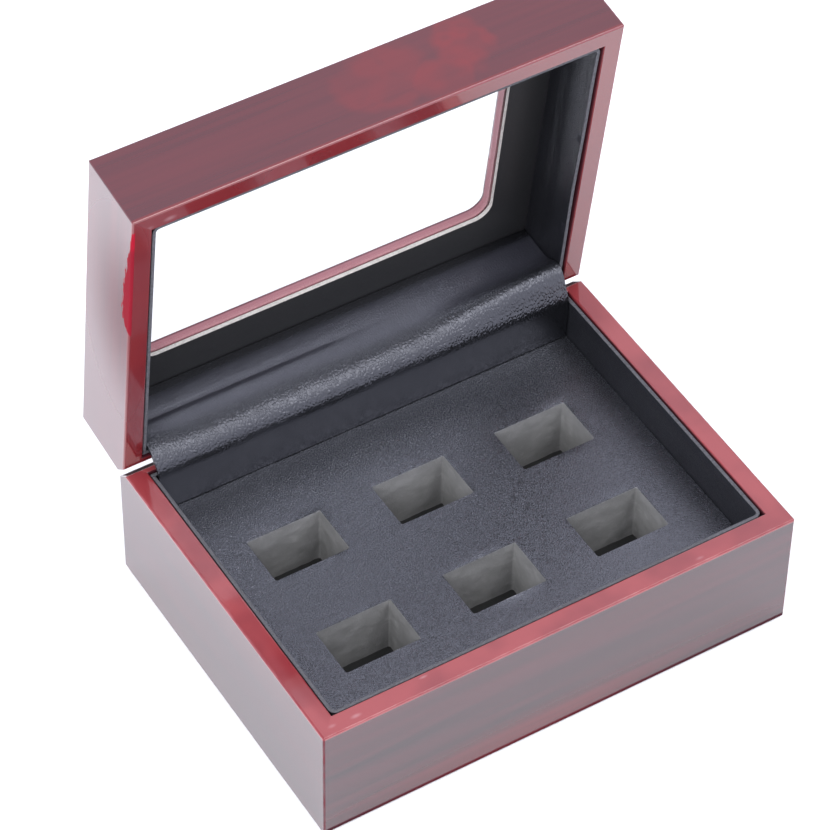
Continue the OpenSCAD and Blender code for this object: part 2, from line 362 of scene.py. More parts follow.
class Graph:
    """Adds the nodes of one tree and links them."""

    def __init__(self, tree: bpy.types.NodeTree) -> None:
        """Take an empty tree, or empty it."""
        self.tree = tree
        self.tree.nodes.clear()

    def feed(self, socket: Socket, value: object) -> None:
        """Link a socket to an input, or set the input's own value."""
        if isinstance(value, Socket):
            self.tree.links.new(value, socket)
        else:
            socket.default_value = value

    def add(
        self,
        kind: str,
        inputs: dict[str | int, object] | None = None,
        **settings: object,
    ) -> bpy.types.Node:
        """Add a node.

        Args:
            kind: The node's type.
            inputs: Sockets or values for its inputs, by name or number.
            **settings: The node's own settings.

        Returns:
            The node.
        """
        node = self.tree.nodes.new(kind)
        for name, value in settings.items():
            setattr(node, name, value)
        for name, value in (inputs or {}).items():
            self.feed(node.inputs[name], value)
        return node

    def math(self, operation: str, *values: object) -> Socket:
        """The result of a Math node on one, two or three values."""
        return self.add("ShaderNodeMath", dict(enumerate(values)), operation=operation).outputs[0]

    def span(self, value: object, low: float, high: float) -> Socket:
        """How far a value has come from low to high, 0 to 1, eased at both ends."""
        inputs = {"Value": value, "From Min": low, "From Max": high}
        return self.add("ShaderNodeMapRange", inputs, interpolation_type="SMOOTHSTEP").outputs[0]

    def remap(
        self,
        value: object,
        low: object,
        high: object,
        start: float = 0.0,
        end: float = 1.0,
    ) -> Socket:
        """A value from start to end as one from low to high, held at both ends."""
        inputs = {"Value": value, "From Min": start, "From Max": end, "To Min": low, "To Max": high}
        return self.add("ShaderNodeMapRange", inputs).outputs[0]

    def vector(self, operation: str, *values: object, output: str = "Vector") -> Socket:
        """The result of a Vector Math node on one or two vectors."""
        node = self.add("ShaderNodeVectorMath", dict(enumerate(values)), operation=operation)
        return node.outputs[output]

    def mix(self, share: object, first: object, second: object, blend: str = "MIX") -> Socket:
        """Two colours mixed by a share."""
        inputs = {0: share, 6: first, 7: second}
        return self.add("ShaderNodeMix", inputs, data_type="RGBA", blend_type=blend).outputs[2]

    def place(
        self,
        vector: object,
        scale: object = (1, 1, 1),
        turn: object = (0, 0, 0),
        at: object = (0, 0, 0),
    ) -> Socket:
        """A vector scaled, turned and then moved."""
        inputs = {"Vector": vector, "Location": at, "Rotation": turn, "Scale": scale}
        return self.add("ShaderNodeMapping", inputs).outputs[0]

    def split(self, vector: object) -> tuple[Socket, Socket, Socket]:
        """The three parts of a vector."""
        return tuple(self.add("ShaderNodeSeparateXYZ", {0: vector}).outputs)

    def noise(
        self,
        vector: object,
        scale: object,
        detail: float = 2.0,
        rough: float = 0.5,
        warp: float = 0.0,
    ) -> Socket:
        """Soft noise, about 0.5, with lumps of a size of one over the scale."""
        inputs = {
            "Vector": vector,
            "Scale": scale,
            "Detail": detail,
            "Roughness": rough,
            "Distortion": warp,
        }
        return self.add("ShaderNodeTexNoise", inputs).outputs[0]

    def drift(self, vector: object, scale: float) -> Socket:
        """Soft noise in three parts, each about 0.5, to move a pattern by."""
        inputs = {"Vector": vector, "Scale": scale, "Detail": 2.0}
        return self.add("ShaderNodeTexNoise", inputs).outputs["Color"]

    def cells(self, vector: object, scale: object, feature: str = "F1", output: str = "Distance") -> Socket:
        """A Voronoi pattern's output."""
        node = self.add("ShaderNodeTexVoronoi", {"Vector": vector, "Scale": scale}, feature=feature)
        return node.outputs[output]

    def bump(self, height: object, depth: float, normal: object | None = None) -> Socket:
        """A normal that follows a height, over one that is there already.

        Args:
            height: The height, 0 to 1.
            depth: What a height of 1 measures, in metres.
            normal: The normal of coarser bumps.

        Returns:
            The normal.
        """
        inputs = {"Height": height, "Distance": depth}
        if normal is not None:
            inputs["Normal"] = normal
        return self.add("ShaderNodeBump", inputs).outputs[0]


class Effect:
    """A pattern in a node group, built once and placed in each material that uses it."""

    title = "effect"
    takes: dict[str, str] = {}
    gives: tuple[str, ...] = ()

    def wire(self, graph: Graph, given: bpy.types.NodeOutputs) -> dict[str, Socket]:
        """Build the pattern.

        Args:
            graph: The group's nodes.
            given: The group's inputs.

        Returns:
            The sockets that the group puts out, by name.
        """
        raise NotImplementedError

    def tree(self) -> bpy.types.NodeTree:
        """The group's tree, built when it is first asked for."""
        found = bpy.data.node_groups.get(self.title)
        if found is not None:
            return found
        tree = bpy.data.node_groups.new(self.title, "ShaderNodeTree")
        for name, kind in self.takes.items():
            tree.interface.new_socket(name=name, in_out="INPUT", socket_type=kind)
        for name in self.gives:
            tree.interface.new_socket(name=name, in_out="OUTPUT", socket_type="NodeSocketFloat")
        graph = Graph(tree)
        given = graph.add("NodeGroupInput").outputs
        made = self.wire(graph, given)
        graph.add("NodeGroupOutput", made)
        return tree

    def put(self, graph: Graph, **inputs: object) -> bpy.types.NodeOutputs:
        """Place the group in a material.

        Args:
            graph: The material's nodes.
            **inputs: Its inputs, by name with _ for a space.

        Returns:
            The group's outputs.
        """
        node = graph.add("ShaderNodeGroup", node_tree=self.tree())
        for name, value in inputs.items():
            graph.feed(node.inputs[name.replace("_", " ")], value)
        return node.outputs


class WoodFigure(Effect):
    """Streaks, broad bands and flames of stained wood, running along X."""

    title = "wood_figure"
    takes = {"Vector": "NodeSocketVector"}
    gives = ("Streak", "Band", "Flame")

    def wire(self, graph: Graph, given: bpy.types.NodeOutputs) -> dict[str, Socket]:
        """Build the figure from stretched noise."""
        vector = given["Vector"]
        fine = graph.noise(graph.place(vector, (12, 380, 380)), 1.0, 2.0, 0.55)
        band = graph.noise(graph.place(vector, (7, 90, 90)), 1.0, 2.0, 0.5, 0.6)
        flame = graph.noise(graph.place(vector, (60, 90, 90)), 1.0, 1.0, 0.5, 1.2)
        return {
            "Streak": graph.span(fine, 0.3, 0.7),
            "Band": graph.span(band, 0.3, 0.7),
            "Flame": graph.span(flame, 0.3, 0.62),
        }


class CaseEdges(Effect):
    """Wear along the outer edges of a box, centred on X and Y."""

    title = "case_edges"
    takes = {
        "Vector": "NodeSocketVector",
        "Half Width": "NodeSocketFloat",
        "Half Depth": "NodeSocketFloat",
        "Bottom": "NodeSocketFloat",
        "Top": "NodeSocketFloat",
        "Reach": "NodeSocketFloat",
    }
    gives = ("Edge",)

    def wire(self, graph: Graph, given: bpy.types.NodeOutputs) -> dict[str, Socket]:
        """Find how near a point is to two faces at once."""
        x, y, z = graph.split(given["Vector"])
        side = graph.math("SUBTRACT", given["Half Width"], graph.math("ABSOLUTE", x))
        front = graph.math("SUBTRACT", given["Half Depth"], graph.math("ABSOLUTE", y))
        below = graph.math("SUBTRACT", z, given["Bottom"])
        above = graph.math("SUBTRACT", given["Top"], z)
        flat = graph.math("MINIMUM", below, above)
        nearness = []
        for gap in (side, front, flat):
            away = graph.math("DIVIDE", gap, given["Reach"])
            nearness.append(graph.span(away, 1.0, 0.25))
        pairs = [
            graph.math("MULTIPLY", nearness[0], nearness[1]),
            graph.math("MULTIPLY", nearness[1], nearness[2]),
            graph.math("MULTIPLY", nearness[2], nearness[0]),
        ]
        whole = graph.math("MAXIMUM", graph.math("MAXIMUM", pairs[0], pairs[1]), pairs[2])
        patchy = graph.span(graph.noise(given["Vector"], 260.0, 3.0), 0.35, 0.62)
        return {"Edge": graph.math("MULTIPLY", whole, graph.remap(patchy, 0.45, 1.0))}


class DustSpecks(Effect):
    """Sparse round specks of dust."""

    title = "dust_specks"
    takes = {"Vector": "NodeSocketVector", "Per Metre": "NodeSocketFloat", "Share": "NodeSocketFloat"}
    gives = ("Speck",)

    def wire(self, graph: Graph, given: bpy.types.NodeOutputs) -> dict[str, Socket]:
        """Keep the middles of a few cells."""
        cell = graph.add("ShaderNodeTexVoronoi", {"Vector": given["Vector"], "Scale": given["Per Metre"]})
        luck = graph.add("ShaderNodeSeparateColor", {0: cell.outputs["Color"]}).outputs[0]
        kept = graph.math("LESS_THAN", luck, given["Share"])
        spot = graph.span(cell.outputs["Distance"], 0.06, 0.025)
        return {"Speck": graph.math("MULTIPLY", kept, spot)}


class LeatherPebble(Effect):
    """Rounded pebbles with fine creases between them."""

    title = "leather_pebble"
    takes = {"Vector": "NodeSocketVector", "Per Metre": "NodeSocketFloat"}
    gives = ("Height", "Crease")
    warp = 1.1 * MM

    def wire(self, graph: Graph, given: bpy.types.NodeOutputs) -> dict[str, Socket]:
        """Round the cells of a warped Voronoi pattern."""
        shift = graph.vector("MULTIPLY", graph.drift(given["Vector"], 420.0), Vector.Fill(3, self.warp))
        moved = graph.vector("ADD", given["Vector"], shift)
        edge = graph.cells(moved, given["Per Metre"], "DISTANCE_TO_EDGE")
        dome = graph.span(edge, 0.0, 0.34)
        # the crease mask, which the leather materials darken as painted shade
        crease = graph.span(edge, 0.12, 0.0)
        return {"Height": dome, "Crease": crease}


@dataclass(frozen=True)
class Finish:
    """A material in the making: its nodes, its coordinates and its shader."""

    material: bpy.types.Material
    graph: Graph
    where: Socket
    shader: bpy.types.Node

    @classmethod
    def start(cls, name: str, uv_map: str | None = None) -> "Finish":
        """Begin a material.

        Args:
            name: The material's name.
            uv_map: The piece's UV map to read, in place of Object coordinates.

        Returns:
            The material with a Principled shader linked to its output.
        """
        material = bpy.data.materials.new(name)
        material.use_nodes = True
        graph = Graph(material.node_tree)
        if uv_map is None:
            where = graph.add("ShaderNodeTexCoord").outputs["Object"]
        else:
            where = graph.add("ShaderNodeUVMap", uv_map=uv_map).outputs[0]
        shader = graph.add("ShaderNodeBsdfPrincipled")
        graph.add("ShaderNodeOutputMaterial", {"Surface": shader.outputs[0]})
        return cls(material, graph, where, shader)

    def set(self, **inputs: object) -> bpy.types.Material:
        """Feed the shader's inputs, by name with _ for a space.

        Args:
            **inputs: Sockets or values.

        Returns:
            The material.
        """
        for name, value in inputs.items():
            self.graph.feed(self.shader.inputs[name.replace("_", " ")], value)
        return self.material


@dataclass(frozen=True)
class WoodBody:
    """The case that a panel belongs to, as it stands with the lid shut."""

    half_width: float
    half_depth: float
    bottom: float
    top: float
    joint: float
    turn: float = 0.0
    shift: Vector = field(default_factory=Vector)


@dataclass(frozen=True)
class Mark:
    """A mark on the wood, as an ellipsoid with soft sides, with the lid shut."""

    centre: Vector
    reach: Vector
    strength: float = 1.0

    def share(self, graph: Graph, place: Socket, solid: float) -> Socket:
        """How much a point lies in the mark, 0 to its strength.

        Args:
            graph: The material's nodes.
            place: The point, with the lid shut.
            solid: The part of the reach that is marked in full.

        Returns:
            The share.
        """
        away = graph.vector("SUBTRACT", place, self.centre)
        far = graph.vector("LENGTH", graph.vector("DIVIDE", away, self.reach), output="Value")
        return graph.math("MULTIPLY", graph.span(far, 1.0, solid), self.strength)


def mark_at(
    centre: tuple[float, float, float],
    reach: tuple[float, float, float],
    strength: float,
) -> Mark:
    """A mark whose centre and reach are given in millimetres."""
    return Mark(Vector(centre) * MM, Vector(reach) * MM, strength)


@dataclass(frozen=True)
class WornWedge:
    """Where the coat has flaked off the left face, in a strip along the joint."""

    start: float = -54.0 * MM
    spread: float = -26.0 * MM
    widest: float = -15.0 * MM
    end: float = -8.0 * MM
    narrow: float = 0.8 * MM
    wide: float = 4.6 * MM
    skin: float = 0.7 * MM

    def share(self, graph: Graph, place: Socket, body: WoodBody) -> Socket:
        """How far the coat is gone at a point, 0 to 1.

        Args:
            graph: The material's nodes.
            place: The point, with the lid shut.
            body: The case that the wall belongs to.

        Returns:
            The share.
        """
        x, y, z = graph.split(place)
        width = graph.remap(y, self.narrow, self.wide, self.start, self.spread)
        width = graph.math("MULTIPLY", width, graph.span(y, self.end, self.widest))
        width = graph.math("MULTIPLY", width, graph.span(y, self.start - 2 * MM, self.start))
        hairs = graph.noise(graph.place(place, (1, 230, 1100)), 1.0, 3.0, 0.6)
        chips = graph.noise(place, 160.0, 2.0)
        ragged = graph.math("ADD", graph.math("MULTIPLY", hairs, 1.5), graph.math("MULTIPLY", chips, 0.5))
        width = graph.math("MULTIPLY", width, ragged)
        spare = graph.math("SUBTRACT", width, graph.math("SUBTRACT", z, body.joint))
        outside = graph.math("LESS_THAN", x, self.skin - body.half_width)
        return graph.math("MULTIPLY", graph.span(spare, 0.0, 0.5 * MM), outside)


@dataclass(frozen=True)
class Marks:
    """What sets one wall apart from the others of its body."""

    flames: tuple[Mark, ...] = ()
    smudges: tuple[Mark, ...] = ()
    dull: tuple[Mark, ...] = ()
    faint: tuple[Mark, ...] = ()
    # deeper red laid as painted shade, where a wall mirrors a dark part of the box or its shaded floor
    shade_reds: tuple[Mark, ...] = ()
    worn: WornWedge | None = None
    sawn_inside: bool = False
    # height of the painted contact shadow along the bottom of the wall
    foot: float = 0.0


@dataclass(frozen=True)
class Lacquer:
    """Burgundy stain with a soft figure under a glossy clear coat."""

    stain: Colour
    light: Colour
    dark: Colour
    rim: Colour
    edge_glossy: float
    edge_matt: float
    streak_share: float = 0.5
    edge: Colour = (0.16, 0.018, 0.026, 1.0)
    # the deep red of the flames in the figure, also laid as painted shade by the shade marks
    flame: Colour = (0.160, 0.0080, 0.0120, 1.0)
    sawn: Colour = (0.27, 0.095, 0.112, 1.0)
    # dark maroon laid as painted shade in the hinge groove, on the inner faces next to the lining and along the
    # foot, and as the dark of the scuffed worn patch
    shade_and_scuff: Colour = (0.042, 0.0060, 0.0110, 1.0)
    bare: Colour = (0.285, 0.0030, 0.016, 1.0)
    dust: Colour = (0.55, 0.38, 0.40, 1.0)
    rim_reach: float = 1.5 * MM
    wear_reach: float = 0.55 * MM
    groove_from: float = 54.8 * MM
    groove_reach: float = 5.0 * MM
    groove_soft: float = 0.6 * MM
    lining_reach: float = 4.0 * MM
    lining_soft: float = 1.0 * MM
    skin: float = 0.3 * MM
    skin_soft: float = 0.4 * MM
    flame_drift: float = 8.0 * MM
    wall: float = 6.3 * MM
    coat_density: float = 1.62

    def figured(self, graph: Graph, place: Socket, grain: Grain, marks: Marks) -> Socket:
        """The stain with its bands, streaks and flames.

        Args:
            graph: The material's nodes.
            place: The point, with the lid shut.
            grain: The way that the figure runs.
            marks: What sets the wall apart.

        Returns:
            The colour.
        """
        along = graph.place(place, turn=(0.0, 0.0, math.radians(grain.value)))
        figure = WoodFigure().put(graph, Vector=along)
        tone = graph.mix(figure["Band"], self.dark, self.stain)
        tone = graph.mix(graph.math("MULTIPLY", figure["Streak"], self.streak_share), tone, self.light)
        if marks.flames:
            drift = graph.vector("SUBTRACT", graph.drift(place, 62.0), (0.5, 0.5, 0.5))
            drift = graph.vector("MULTIPLY", drift, Vector.Fill(3, 2 * self.flame_drift))
            moved = graph.vector("ADD", place, drift)
            licks = graph.remap(figure["Flame"], 0.45, 1.0)
            for mark in marks.flames:
                lick = graph.math("MULTIPLY", mark.share(graph, moved, 0.7), licks)
                tone = graph.mix(lick, tone, self.flame)
        return tone

    def shaded_and_uncoated(self, graph: Graph, place: Socket, body: WoodBody, foot: float) -> Socket:
        """Where shade is painted on the wood, darker than its own colour, and its coat is left off.

        Args:
            graph: The material's nodes.
            place: The point, with the lid shut.
            body: The case that the wall belongs to.
            foot: The height of the painted contact shadow at the bottom, or 0.

        Returns:
            The share, 1 in the hinge groove, behind the lining and at the foot.
        """
        x, y, z = graph.split(place)
        off_joint = graph.math("ABSOLUTE", graph.math("SUBTRACT", z, body.joint))
        deep = self.skin + self.skin_soft
        inside = (
            graph.span(y, self.groove_from, self.groove_from + self.groove_soft),
            graph.span(off_joint, self.groove_reach, self.groove_reach - self.skin_soft),
            graph.span(graph.math("ABSOLUTE", x), body.half_width - self.skin, body.half_width - deep),
            graph.span(y, body.half_depth - self.skin, body.half_depth - deep),
        )
        share = inside[0]
        for factor in inside[1:]:
            share = graph.math("MULTIPLY", share, factor)
        side = graph.math("SUBTRACT", body.half_width, graph.math("ABSOLUTE", x))
        front = graph.math("SUBTRACT", body.half_depth, graph.math("ABSOLUTE", y))
        within = graph.span(graph.math("MINIMUM", side, front), self.wall - 0.4 * MM, self.wall - 0.1 * MM)
        near_rim = graph.span(off_joint, self.lining_reach, self.lining_reach - self.lining_soft)
        behind_lining = graph.math("MULTIPLY", within, near_rim)
        share = graph.math("MAXIMUM", share, behind_lining)
        if foot > 0:
            low = graph.span(graph.math("SUBTRACT", z, body.bottom), foot, 0.7 * foot)
            share = graph.math("MAXIMUM", share, low)
        return share

    def make(self, name: str, body: WoodBody, grain: Grain, marks: Marks = Marks()) -> bpy.types.Material:
        """Build the lacquer for the panels of one body whose grain runs one way.

        Args:
            name: The material's name.
            body: The case that the panels belong to.
            grain: The way that the figure runs.
            marks: What sets the wall apart.

        Returns:
            The material.
        """
        finish = Finish.start(name)
        graph = finish.graph
        place = graph.place(finish.where, turn=(body.turn, 0.0, 0.0), at=body.shift)
        height = graph.split(place)[2]
        blotch = graph.noise(place, 55.0, 2.0)
        tone = self.figured(graph, place, grain, marks)
        off_joint = graph.math("ABSOLUTE", graph.math("SUBTRACT", height, body.joint))
        on_rim = graph.span(off_joint, self.rim_reach, 0.5 * self.rim_reach)
        faded = graph.math("MULTIPLY", graph.span(blotch, 0.4, 0.7), 0.35)
        rim_tone = graph.mix(faded, self.rim, self.light)
        tone = graph.mix(on_rim, tone, rim_tone)
        shade_and_bare = self.shaded_and_uncoated(graph, place, body, marks.foot)
        # painted shade: dark maroon in the hinge groove, on the inner faces next to the lining and along the foot
        tone = graph.mix(shade_and_bare, tone, self.shade_and_scuff)
        if marks.sawn_inside:
            below = graph.math("SUBTRACT", body.top, height)
            raw = graph.span(below, 0.4 * MM, 0.8 * MM)
            tone = graph.mix(raw, tone, self.sawn)
            shade_and_bare = graph.math("MAXIMUM", shade_and_bare, graph.math("MULTIPLY", raw, 0.6))
        edge = CaseEdges().put(
            graph,
            Vector=place,
            Half_Width=body.half_width,
            Half_Depth=body.half_depth,
            Bottom=body.bottom,
            Top=body.top,
            Reach=self.wear_reach,
        )["Edge"]
        matt = graph.span(graph.split(place)[0], self.edge_glossy, self.edge_matt)
        edge = graph.math("MULTIPLY", edge, matt)
        edge = graph.math("MULTIPLY", edge, graph.math("SUBTRACT", 1.0, shade_and_bare))
        tone = graph.mix(graph.math("MULTIPLY", edge, 0.6), tone, self.edge)
        speck = DustSpecks().put(graph, Vector=place, Per_Metre=85.0, Share=0.04)["Speck"]
        tone = graph.mix(graph.math("MULTIPLY", speck, 0.5), tone, self.dust)
        # deeper red laid as painted shade
        for red in marks.shade_reds:
            tone = graph.mix(red.share(graph, place, 0.2), tone, self.flame)
        for smudge in marks.smudges:
            tone = graph.mix(smudge.share(graph, place, 0.0), tone, self.dust)
        if marks.worn is not None:
            worn = marks.worn.share(graph, place, body)
            scuffed = graph.math("MULTIPLY", graph.span(blotch, 0.4, 0.6), 0.35)
            fresh = graph.mix(scuffed, self.bare, self.shade_and_scuff)
            tone = graph.mix(worn, tone, fresh)
            shade_and_bare = graph.math("MAXIMUM", shade_and_bare, worn)
        dulled = graph.math("MAXIMUM", shade_and_bare, graph.math("MULTIPLY", edge, 0.85))
        for mark in marks.dull:
            dulled = graph.math("MAXIMUM", dulled, mark.share(graph, place, 0.0))
        bare = dulled
        for mark in marks.faint:
            bare = graph.math("MAXIMUM", bare, mark.share(graph, place, 0.3))
        ripple = graph.noise(place, 60.0, 1.0)
        return finish.set(
            Base_Color=tone,
            Roughness=graph.remap(dulled, 0.26, 0.95),
            Specular_IOR_Level=0.18,
            Coat_Weight=graph.math("SUBTRACT", 1.0, bare),
            Coat_Roughness=0.06,
            Coat_IOR=self.coat_density,
            Normal=graph.bump(ripple, 0.012 * MM),
            IOR=1.5,
        )


@dataclass(frozen=True)
class Leatherette:
    """Fine-grained black leatherette on card."""

    face: Colour = (0.0100, 0.0104, 0.0126, 1.0)
    worn: Colour = (0.0135, 0.0140, 0.0168, 1.0)
    grains_per_metre: float = 1900.0
    grain_depth: float = 0.035 * MM
    roughness: float = 0.40
    shine: float = 0.85
    uneven: float = 0.07
    density: float = 1.5
    ripple: float = 0.0
    ripple_turn: float = 0.0

    def make(self, name: str) -> bpy.types.Material:
        """Build the material under a name."""
        finish = Finish.start(name)
        graph = finish.graph
        pebble = LeatherPebble().put(graph, Vector=finish.where, Per_Metre=self.grains_per_metre)
        cloud = graph.noise(finish.where, 45.0, 2.0)
        fine = graph.noise(finish.where, 2600.0, 2.0)
        tone = graph.mix(graph.span(cloud, 0.3, 0.7), self.face, self.worn)
        # painted shade in the creases between the grains
        tone = graph.mix(graph.math("MULTIPLY", pebble["Crease"], 0.4), tone, grey(0.005))
        rough = graph.remap(fine, self.roughness - self.uneven, self.roughness + self.uneven, 0.25, 0.75)
        normal = graph.bump(cloud, 0.02 * MM)
        if self.ripple > 0:
            turned = graph.place(finish.where, turn=(self.ripple_turn, 0.0, 0.0))
            waves = graph.noise(graph.place(turned, (3, 5, 150)), 1.0, 1.0)
            normal = graph.bump(waves, self.ripple, normal)
        normal = graph.bump(pebble["Height"], self.grain_depth, normal)
        normal = graph.bump(fine, 0.008 * MM, normal)
        return finish.set(
            Base_Color=tone,
            Roughness=rough,
            IOR=self.density,
            Specular_IOR_Level=self.shine,
            Specular_Tint=LEATHER_SHEEN,
            Normal=normal,
        )


@dataclass(frozen=True)
class SoftLeather:
    """Soft leather with a coarse pebble, laid along the flat cut's own UV map, with painted shade low on the roll
    and toward the card and painted light past the turn.
    """

    face: Colour = (0.0062, 0.0066, 0.0084, 1.0)
    crown: Colour = (0.0120, 0.0126, 0.0155, 1.0)
    pebbles_per_metre: float = 1050.0
    pebble_depth: float = 0.08 * MM
    shine: float = 1.0
    open_at: float = -1.0 * MM
    open_near: float = 3.5 * MM
    open_far: float = 8.0 * MM
    # painted shade on the lower part of the roll, towards the insert
    under_from: float = -2.0 * MM
    under_full: float = -7.0 * MM
    under_roughness: float = 0.22
    under_share: float = 0.85
    under_rise: float = 2.8 * MM
    rise_from: float = -40.0 * MM
    rise_full: float = 60.0 * MM
    # painted light on the leather past the turn, on the open lid
    over_from: float = 3.5 * MM
    over_full: float = 8.0 * MM
    over_share: float = 0.85
    end_at: float = 22.0 * MM
    end_fade: float = 5.0 * MM
    # painted shade on the stretch that runs up to the card on the lid
    tuck_from: float = 4.5 * MM
    tuck_full: float = 1.0 * MM
    tuck_share: float = 0.7
    # colours of the painted shade and of the painted light past the turn
    shade: Colour = grey(0.002)
    upper_light: Colour = (0.0255, 0.0256, 0.0340, 1.0)

    def make(self, uv_map: str) -> bpy.types.Material:
        """Build the material on a UV map given in metres, its grain open where the leather turns."""
        finish = Finish.start("soft_leather", uv_map)
        graph = finish.graph
        pebble = LeatherPebble().put(
            graph,
            Vector=graph.place(finish.where, (1.0, 0.72, 1.0)),
            Per_Metre=self.pebbles_per_metre,
        )
        fine = graph.noise(finish.where, 3000.0, 2.0)
        cloud = graph.noise(finish.where, 70.0, 3.0)
        tone = graph.mix(graph.math("MULTIPLY", pebble["Height"], 0.6), self.face, self.crown)
        # painted shade in the creases between the pebbles
        tone = graph.mix(graph.math("MULTIPLY", pebble["Crease"], 0.7), tone, grey(0.004))
        rough = graph.remap(cloud, 0.32, 0.42, 0.3, 0.7)
        # painted shade on the lower part of the roll
        across, along = graph.split(finish.where)[:2]
        rise = graph.remap(across, 0.0, self.under_rise, self.rise_from, self.rise_full)
        under = graph.span(graph.math("SUBTRACT", along, rise), self.under_from, self.under_full)
        tone = graph.mix(graph.math("MULTIPLY", under, self.under_share), tone, self.shade)
        rough = graph.remap(under, rough, self.under_roughness)
        # painted light past the turn
        over = graph.span(along, self.over_from, self.over_full)
        over = graph.math("MULTIPLY", over, graph.span(along, self.end_at, self.end_at - self.end_fade))
        tone = graph.mix(graph.math("MULTIPLY", over, self.over_share), tone, self.upper_light)
        # painted shade toward the card on the lid
        tucked = graph.span(along, self.end_at - self.tuck_from, self.end_at - self.tuck_full)
        tone = graph.mix(graph.math("MULTIPLY", tucked, self.tuck_share), tone, self.shade)
        rough = graph.remap(tucked, rough, self.under_roughness)
        from_turn = graph.math("ABSOLUTE", graph.math("SUBTRACT", along, self.open_at))
        grain = graph.remap(from_turn, 1.0, 0.28, self.open_near, self.open_far)
        normal = graph.bump(graph.math("MULTIPLY", pebble["Height"], grain), self.pebble_depth)
        normal = graph.bump(fine, 0.010 * MM, normal)
        return finish.set(
            Base_Color=tone,
            Roughness=rough,
            Specular_IOR_Level=self.shine,
            Specular_Tint=LEATHER_SHEEN,
            Normal=normal,
        )


@dataclass(frozen=True)
class CutEdge:
    """The raw edge of a card or a cloth, with its fibres."""

    name: str
    tone: Colour
    fibre: Colour

    def make(self) -> bpy.types.Material:
        """Build the material."""
        finish = Finish.start(self.name)
        graph = finish.graph
        fibres = graph.noise(finish.where, 1400.0, 3.0, 0.7)
        layers = graph.noise(graph.place(finish.where, (200, 200, 3000)), 1.0, 2.0)
        tone = graph.mix(graph.span(fibres, 0.4, 0.65), self.tone, self.fibre)
        tone = graph.mix(graph.math("MULTIPLY", graph.span(layers, 0.5, 0.7), 0.35), tone, self.fibre)
        return finish.set(
            Base_Color=tone,
            Roughness=0.85,
            Specular_IOR_Level=0.25,
            Normal=graph.bump(fibres, 0.05 * MM),
        )


@dataclass(frozen=True)
class Foam:
    """Grey foam, rough where the slots were cut."""

    tone: Colour = (0.224, 0.224, 0.223, 1.0)
    shade: Colour = (0.190, 0.190, 0.189, 1.0)
    rub: Colour = (0.285, 0.285, 0.283, 1.0)

    def make(self) -> bpy.types.Material:
        """Build the material."""
        finish = Finish.start("grey_foam")
        graph = finish.graph
        pores = graph.cells(finish.where, 2200.0)
        cut = graph.noise(graph.place(finish.where, (260, 260, 420)), 1.0, 3.0, 0.6)
        blotch = graph.noise(finish.where, 170.0, 2.0, 0.55)
        tone = graph.mix(graph.span(blotch, 0.3, 0.7), self.shade, self.tone)
        tone = graph.mix(graph.math("MULTIPLY", graph.span(cut, 0.5, 0.75), 0.5), tone, self.rub)
        # painted shade in the pores
        tone = graph.mix(graph.math("MULTIPLY", graph.span(pores, 0.42, 0.1), 0.3), tone, self.shade)
        normal = graph.bump(cut, 0.08 * MM)
        normal = graph.bump(pores, 0.06 * MM, normal)
        return finish.set(Base_Color=tone, Roughness=0.95, Normal=normal, Specular_IOR_Level=0.2)


@dataclass(frozen=True)
class MattBlack:
    """A matt black card, paper or felt with a fibrous nap."""

    name: str
    tone: Colour = (0.014, 0.014, 0.015, 1.0)
    nap: Colour = (0.03, 0.03, 0.032, 1.0)
    roughness: float = 0.8
    nap_depth: float = 0.03 * MM
    nap_per_metre: float = 1500.0
    sheen: float = 0.0
    shine: float = 0.5

    def make(self) -> bpy.types.Material:
        """Build the material."""
        finish = Finish.start(self.name)
        graph = finish.graph
        fibres = graph.noise(finish.where, self.nap_per_metre, 4.0, 0.7, 0.8)
        cloud = graph.noise(finish.where, 60.0, 2.0)
        tone = graph.mix(graph.span(fibres, 0.4, 0.7), self.tone, self.nap)
        tone = graph.mix(graph.math("MULTIPLY", cloud, 0.25), tone, self.nap)
        return finish.set(
            Base_Color=tone,
            Roughness=self.roughness,
            Specular_IOR_Level=self.shine,
            Normal=graph.bump(fibres, self.nap_depth),
            Sheen_Weight=self.sheen,
        )


@dataclass(frozen=True)
class Brass:
    """Stamped and tumbled brass, a little dull."""

    bright: Colour = (0.62, 0.46, 0.20, 1.0)
    dull: Colour = (0.38, 0.27, 0.12, 1.0)

    def make(self) -> bpy.types.Material:
        """Build the material."""
        finish = Finish.start("hinge_brass")
        graph = finish.graph
        tarnish = graph.noise(finish.where, 700.0, 4.0, 0.6)
        scratches = graph.noise(graph.place(finish.where, (300, 5000, 5000)), 1.0, 2.0)
        tone = graph.mix(graph.span(tarnish, 0.4, 0.7), self.bright, self.dull)
        rough = graph.remap(tarnish, 0.22, 0.5)
        normal = graph.bump(scratches, 0.008 * MM)
        return finish.set(Base_Color=tone, Metallic=1.0, Roughness=rough, Normal=normal)


